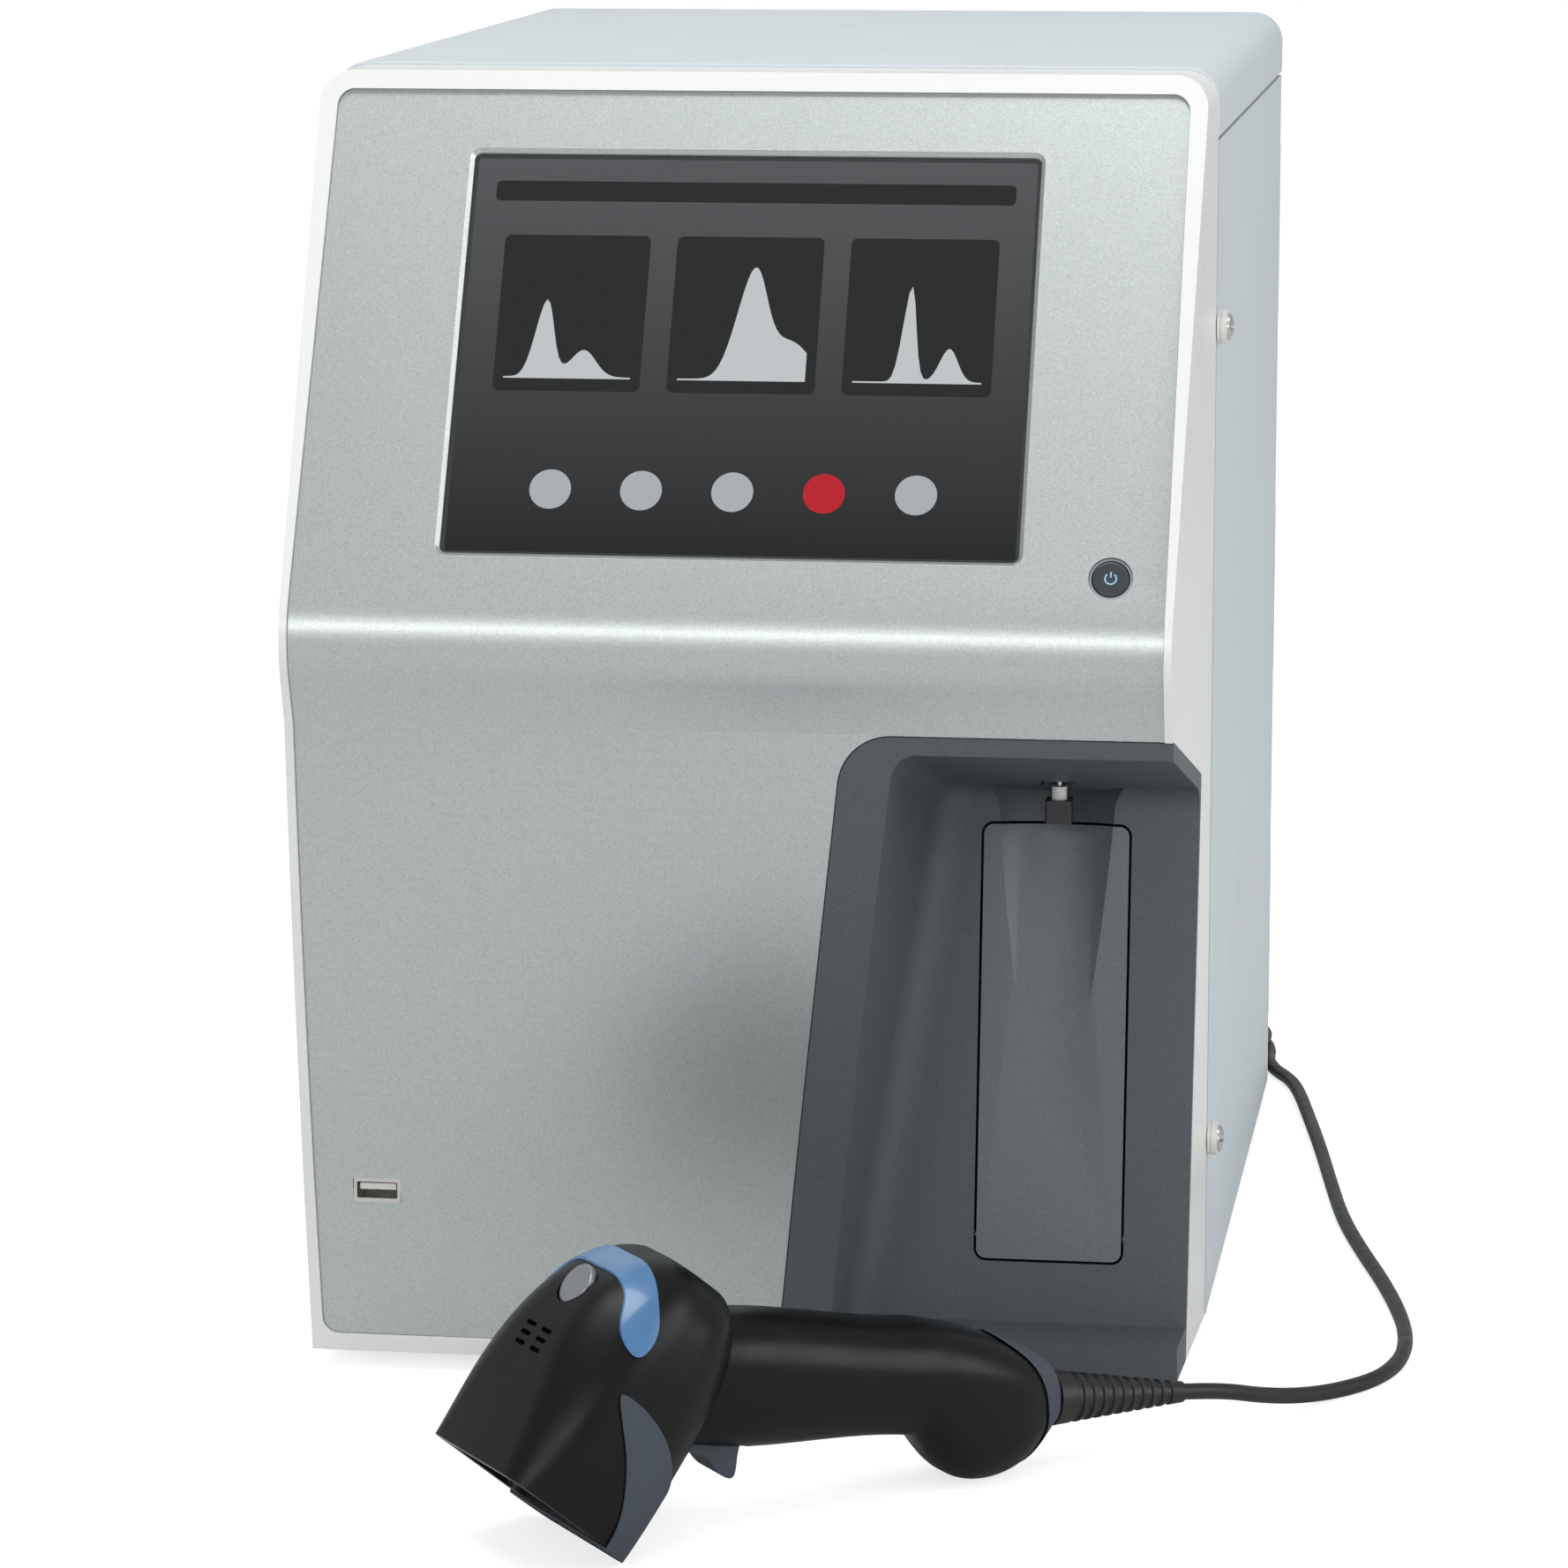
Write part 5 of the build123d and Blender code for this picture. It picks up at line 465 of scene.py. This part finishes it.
# %% Round the pieces that are seen
rounded_nodes = {
    "top_cover": (panel_grey, "panel_grey", 0.0006),
    "left_cover": (panel_grey, "panel_grey", 0.0004),
    "right_door": (panel_grey, "panel_grey", 0.0005),
    "rear_panel": (panel_grey, "panel_grey", 0.0003),
    "front_bezel": (bezel_white, "bezel_white", 0.0009),
    "front_fascia": (fascia_silver, "fascia_silver", 0.0004),
    "port_moulding": (port_charcoal, "port_charcoal", 0.0008),
    "start_plate": (plate_charcoal, "plate_charcoal", 0.0007),
    # The wash block's near-black finish is painted shade in the probe's opening.
    "probe_wash_block": (wash_black, "wash_black", 0.0003),
    "latch_washers": (white_nylon, "white_nylon", 0.0003),
    "door_latch_lower": (steel, "steel", 0.00025),
    "door_latch_upper": (steel, "steel", 0.00025),
    "mains_inlet": (black_plastic, "black_plastic", 0.0004),
    "scanner_plug": (cord_black, "cord_black", 0.0003),
    "scanner_strain_relief": (cord_black, "cord_black", 0.0002),
    "scanner_housing": (scanner_black, "scanner_black", 0.0006),
    "scanner_side_grips": (scanner_slate, "scanner_slate", 0.0003),
    "scanner_end_cap": (scanner_slate, "scanner_slate", 0.0002),
    "scanner_light_strip": (light_blue, "light_blue", 0.0003),
    "scanner_trigger": (scanner_slate, "scanner_slate", 0.0006),
}
for node_name, (finish_used, slot_name, radius) in rounded_nodes.items():
    rounded_piece(node_name, finish_used, radius)

# %% [markdown]
# Every other solid keeps its mesh and trades the plain colour that it was loaded with for a real finish.

# %% Finishes for the solids that keep their own mesh
kept_finishes = {
    "base_tray": zinc_sheet, "rubber_feet": foot_rubber, "start_plate_pin": steel,
    "start_switch": black_plastic, "display_glass": screen_glass, "display_module": display_black,
    "power_button": button_black, "power_switch": switch_ring, "usb_front_shell": socket_steel,
    "usb_front_tongue": white_nylon, "door_hinge_pins": steel, "rear_panel_screws": steel,
    "rear_data_ports": socket_steel, "reagent_fittings": fitting_white, "fan_frame": black_plastic,
    "fan_rotor": black_plastic, "service_bulkhead": zinc_sheet, "probe_guide_rail": aluminium,
    "probe_motor": motor_black, "probe_belt": belt_rubber, "probe_drive_pulley": aluminium,
    "probe_idler_pulley": aluminium, "probe_carriage": aluminium, "aspiration_probe": steel,
    "probe_collar": white_nylon, "counting_baths": bath_acrylic, "syringe_drive": aluminium,
    "syringe_barrels": syringe_glass, "syringe_plungers": steel, "pump_body": motor_black,
    "pump_rotor": white_nylon, "valve_bank": valve_cream, "optics_module": aluminium,
    "main_board": board_green, "power_supply": zinc_sheet, "fluid_tubes": tube_clear,
    "scanner_window": window_dark, "scanner_badge": badge_silver, "scanner_cord": cord_black,
    "scanner_cord_coil": cord_black,
}
for node_name, finish_used in kept_finishes.items():
    materials = frame["nodes"][node_name].data.materials
    materials.clear()
    materials.append(finish_used)
print("solids with a finish of their own:", len(kept_finishes))

# %% [markdown]
# The scanner's cord. It leaves the ribbed sleeve on the handle, crosses the table past the analyzer's
# right side and ends in a neat coil behind it, from which it rises to a socket in the rear panel.
# A NURBS spline through a few control points gives the even, heavy curve that a vinyl cord lies in.
# The coil is two flat spirals: the lower one winds inward, the upper one winds back out on top of it.
# A spline runs a little inside its control points, so the coil's points stand slightly further out.

# %% The cord's route
cord_diameter = 0.0048
lie_points = [
    (0.1362, -0.2192, 0.0147), (0.1473, -0.2109, 0.0132), (0.1585, -0.1975, 0.0080),
    (0.1698, -0.1825, 0.0040), (0.1810, -0.1689, 0.0024), (0.1917, -0.1545, 0.0024),
    (0.1972, -0.1336, 0.0024), (0.1976, -0.1090, 0.0024), (0.1944, -0.0823, 0.0024),
    (0.1880, -0.0478, 0.0024), (0.1791, -0.0091, 0.0024), (0.1711, 0.0304, 0.0024),
    (0.1649, 0.0770, 0.0024), (0.1588, 0.1254, 0.0024), (0.1520, 0.1725, 0.0024),
    (0.1467, 0.2082, 0.0024), (0.1423, 0.2275, 0.0024), (0.1360, 0.2410, 0.0024),
    (0.1323, 0.2570, 0.0024),
]
rise_points = [
    (0.0795, 0.3056, 0.0085), (0.0670, 0.3020, 0.0180), (0.0600, 0.2990, 0.0330),
    (0.0600, 0.2979, 0.0481), (0.0600, 0.2899, 0.0620), (0.0600, 0.2760, 0.0700),
    (0.0600, 0.2620, 0.0700),
]
coil_middle = Vector((0.1000, 0.2750))
coil_outer = 0.0315
coil_turns = 5.25
points_per_turn = 14
spline_shrink = 0.975
climb_turns = 0.25
pieces_per_point = 6
tube_smoothness = 3
coil_points = []
for step in range(int(coil_turns * points_per_turn) + 1):
    turned = step / points_per_turn
    inward = min(turned, coil_turns - turned)
    reach = (coil_outer - cord_diameter * inward) / spline_shrink
    climb = min(max((turned - coil_turns / 2) / climb_turns + 0.5, 0.0), 1.0)
    angle = 2 * math.pi * turned
    coil_points.append((coil_middle.x + reach * math.cos(angle),
                        coil_middle.y + reach * math.sin(angle),
                        cord_diameter / 2 + climb * cord_diameter))
route_points = lie_points + coil_points + rise_points

route_data = bpy.data.curves.new("cord_route", "CURVE")
route_data.dimensions = "3D"
route_data.resolution_u = pieces_per_point
route_line = route_data.splines.new("NURBS")
route_line.points.add(len(route_points) - 1)
for control, place in zip(route_line.points, route_points):
    control.co = (*place, 1)
route_line.order_u = 3
route_line.use_endpoint_u = True
route = bpy.data.objects.new("cord_route", route_data)
bpy.context.scene.collection.objects.link(route)
bpy.context.view_layer.update()
centre_mesh = bpy.data.meshes.new_from_object(route.evaluated_get(bpy.context.evaluated_depsgraph_get()))

# %% [markdown]
# The tube itself is the same spline with a round bevel, turned into a mesh.

# %% The cord's tube
route_data.bevel_depth = cord_diameter / 2
route_data.bevel_resolution = tube_smoothness
route_data.use_fill_caps = True
bpy.context.view_layer.update()
cord_mesh = bpy.data.meshes.new_from_object(route.evaluated_get(bpy.context.evaluated_depsgraph_get()))
cord_mesh.materials.clear()
cord_mesh.materials.append(cord_black)
for face in cord_mesh.polygons:
    face.use_smooth = True
scanner_lead = bpy.data.objects.new("scanner_lead", cord_mesh)
bpy.context.scene.collection.objects.link(scanner_lead)
bpy.data.objects.remove(route)
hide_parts("scanner_cord", "scanner_cord_coil")
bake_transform(scanner_lead)

# %% [markdown]
# The picture on the display: a dark page with a bar on top, three distribution curves in panels, and a
# row of round keys, one of them red. Everything lies just above the glass as flat shapes that glow, as a
# lit screen does, each layer a few hundredths of a millimetre over the one below.

# %% The display's plane
screen_lean = math.radians(28.9)
screen_middle = Vector((0, -0.17146, 0.31169))
glass_depth = 0.0025
screen_up = Vector((0, math.sin(screen_lean), math.cos(screen_lean)))
screen_out = Vector((0, -math.cos(screen_lean), math.sin(screen_lean)))
screen_plane = Matrix.Identity(4)
screen_plane.col[1] = (*screen_up, 0)
screen_plane.col[2] = (*screen_out, 0)
screen_plane.translation = screen_middle - screen_out * glass_depth
screen_width = 0.1704
screen_height = 0.1278
page_layer = 0.00004
panel_layer = 0.00008
shape_layer = 0.00012
unlit_share = 0.1
cover_roughness = 0.12


def lit(name, colour, strength=0.85):
    """A patch of a lit screen: most of its brightness is its own light."""
    material = finish(name, tuple(channel * unlit_share for channel in colour), cover_roughness, specular=0.2)
    shader = material.node_tree.nodes["Principled BSDF"]
    shader.inputs["Emission Color"].default_value = (*colour, 1)
    shader.inputs["Emission Strength"].default_value = strength
    return material


def screen_patch(name, outline, material, height):
    """A flat shape on the screen, from its outline, a little above the glass."""
    form = bmesh.new()
    corners = [form.verts.new((x, y, height)) for x, y in outline]
    form.faces.new(corners)
    bmesh.ops.recalc_face_normals(form, faces=form.faces)
    if form.faces[:][0].normal.z < 0:
        bmesh.ops.reverse_faces(form, faces=form.faces)
    bmesh.ops.transform(form, matrix=screen_plane, verts=form.verts)
    mesh = bpy.data.meshes.new(name)
    form.to_mesh(mesh)
    form.free()
    mesh.materials.append(material)
    piece = bpy.data.objects.new(name, mesh)
    bpy.context.scene.collection.objects.link(piece)
    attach(piece, "housing")
    return piece


def rounded_box(left, low, right, high, corner, steps=5):
    """The outline of a rectangle with round corners."""
    outline = []
    middles = ((right - corner, high - corner, 0), (left + corner, high - corner, 90),
               (left + corner, low + corner, 180), (right - corner, low + corner, 270))
    for middle_x, middle_y, start in middles:
        for step in range(steps + 1):
            angle = math.radians(start + 90 * step / steps)
            outline.append((middle_x + corner * math.cos(angle), middle_y + corner * math.sin(angle)))
    return outline


# %% [markdown]
# The page is nearly black at its foot and dark grey at its head. The tone follows the height above the
# table, which the material reads from the object's own coordinates.

# %% Screen background
page_border = 0.0012
page_corner = 0.0008
page_rise_half = 0.056
page_foot_tone = (0.014, 0.0145, 0.015, 1)
page_head_tone = (0.10, 0.104, 0.11, 1)
page_grey = lit("page_grey", (0.06, 0.062, 0.066))
page_nodes = page_grey.node_tree.nodes
page_place = page_nodes.new("ShaderNodeTexCoord")
page_split = page_nodes.new("ShaderNodeSeparateXYZ")
page_rise = page_nodes.new("ShaderNodeMapRange")
page_rise.inputs["From Min"].default_value = screen_middle.z - page_rise_half
page_rise.inputs["From Max"].default_value = screen_middle.z + page_rise_half
page_tone = page_nodes.new("ShaderNodeValToRGB")
page_tone.color_ramp.elements[0].color = page_foot_tone
page_tone.color_ramp.elements[1].color = page_head_tone
page_links = page_grey.node_tree.links
page_links.new(page_place.outputs["Object"], page_split.inputs[0])
page_links.new(page_split.outputs["Z"], page_rise.inputs["Value"])
page_links.new(page_rise.outputs["Result"], page_tone.inputs["Fac"])
page_links.new(page_tone.outputs["Color"], page_nodes["Principled BSDF"].inputs["Emission Color"])
page_right = screen_width / 2 - page_border
page_high = screen_height / 2 - page_border
page_outline = rounded_box(-page_right, -page_high, page_right, page_high, page_corner)
screen_patch("screen_page", page_outline, page_grey, page_layer)

# %% [markdown]
# Each curve is the sum of two bell shapes, a tall one and a lower, wider one to its right, as a count of
# cells by their size gives. A key is a square whose corners are so round that it becomes a disc.

# %% Curves and keys on the screen
panel_tone = lit("panel_tone", (0.022, 0.023, 0.025))
curve_tone = lit("curve_tone", (0.55, 0.57, 0.58))
key_tone = lit("key_tone", (0.42, 0.44, 0.46))
red_tone = lit("red_tone", (0.50, 0.018, 0.03))

graph_width = 0.044
graph_height = 0.050
graph_low = -0.012
graph_corner = 0.002
graph_middles = (-0.052, 0.0, 0.052)
curve_margin = 0.003
curve_foot = 0.004
curve_base = 0.0045
curve_reach = graph_height - 0.012
curve_steps = 40
peaks = ((0.30, 0.10, 0.65), (0.55, 0.16, 0.9), (0.42, 0.07, 0.8))
side_peak_share = 0.35
side_peak_shift = 0.32
side_peak_spread = 1.4
for number, (middle, (peak, spread, tall)) in enumerate(zip(graph_middles, peaks)):
    left = middle - graph_width / 2
    panel_outline = rounded_box(left, graph_low, left + graph_width, graph_low + graph_height, graph_corner)
    screen_patch(f"graph_panel_{number}", panel_outline, panel_tone, panel_layer)
    outline = [(left + curve_margin, graph_low + curve_foot)]
    for step in range(curve_steps + 1):
        share = step / curve_steps
        height = tall * math.exp(-((share - peak) / spread) ** 2)
        from_side_peak = (share - peak - side_peak_shift) / (spread * side_peak_spread)
        height += side_peak_share * tall * math.exp(-from_side_peak ** 2)
        outline.append((left + curve_margin + share * (graph_width - 2 * curve_margin),
                        graph_low + curve_base + height * curve_reach))
    outline.append((left + graph_width - curve_margin, graph_low + curve_foot))
    screen_patch(f"graph_curve_{number}", outline, curve_tone, shape_layer)

key_count = 5
red_key = 3
key_radius = 0.0062
key_corner = key_radius - 0.00001
key_pitch = 0.027
key_row = -0.043
for number in range(key_count):
    middle = (number - (key_count - 1) // 2) * key_pitch
    tone = red_tone if number == red_key else key_tone
    key_outline = rounded_box(middle - key_radius, key_row - key_radius, middle + key_radius,
                              key_row + key_radius, key_corner, steps=8)
    screen_patch(f"round_key_{number}", key_outline, tone, shape_layer)

bar_half = 0.078
bar_low = 0.049
bar_high = 0.0555
bar_corner = 0.0015
bar_outline = rounded_box(-bar_half, bar_low, bar_half, bar_high, bar_corner)
screen_patch("top_bar", bar_outline, panel_tone, panel_layer)

# %% [markdown]
# The power key carries the common standby sign: a broken ring with a stroke in its gap, lit pale blue.
# Both are flat faces just above the key's own face, which is set back a little from the panel.

# %% Standby sign
sign_tone = lit("sign_tone", (0.35, 0.62, 0.85), 0.9)
button_middle = Vector((0.1121, -0.20452, 0.2518))
sign_depth = 0.0003
sign_layer = 0.00002
sign_plane = screen_plane.copy()
sign_plane.translation = button_middle - screen_out * sign_depth + screen_out * sign_layer
sign_form = bmesh.new()
sign_radius = 0.00165
sign_line = 0.00045
stroke_low = 0.0004
stroke_high = 0.0021
half_gap = math.radians(38)
ring_steps = 22
inner_edge = []
outer_edge = []
for step in range(ring_steps + 1):
    angle = math.pi / 2 + half_gap + (2 * math.pi - 2 * half_gap) * step / ring_steps
    direction = Vector((math.cos(angle), math.sin(angle), 0))
    inner_edge.append(sign_form.verts.new(direction * (sign_radius - sign_line / 2)))
    outer_edge.append(sign_form.verts.new(direction * (sign_radius + sign_line / 2)))
for step in range(ring_steps):
    sign_form.faces.new((inner_edge[step], outer_edge[step], outer_edge[step + 1], inner_edge[step + 1]))
stroke_corners = ((-sign_line / 2, stroke_low), (sign_line / 2, stroke_low),
                  (sign_line / 2, stroke_high), (-sign_line / 2, stroke_high))
sign_form.faces.new([sign_form.verts.new((x, y, 0)) for x, y in stroke_corners])
bmesh.ops.recalc_face_normals(sign_form, faces=sign_form.faces)
for face in sign_form.faces:
    if face.normal.z < 0:
        face.normal_flip()
bmesh.ops.transform(sign_form, matrix=sign_plane, verts=sign_form.verts)
sign_mesh = bpy.data.meshes.new("standby_sign")
sign_form.to_mesh(sign_mesh)
sign_form.free()
sign_mesh.materials.append(sign_tone)
standby_sign = bpy.data.objects.new("standby_sign", sign_mesh)
bpy.context.scene.collection.objects.link(standby_sign)
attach(standby_sign, "power_button")
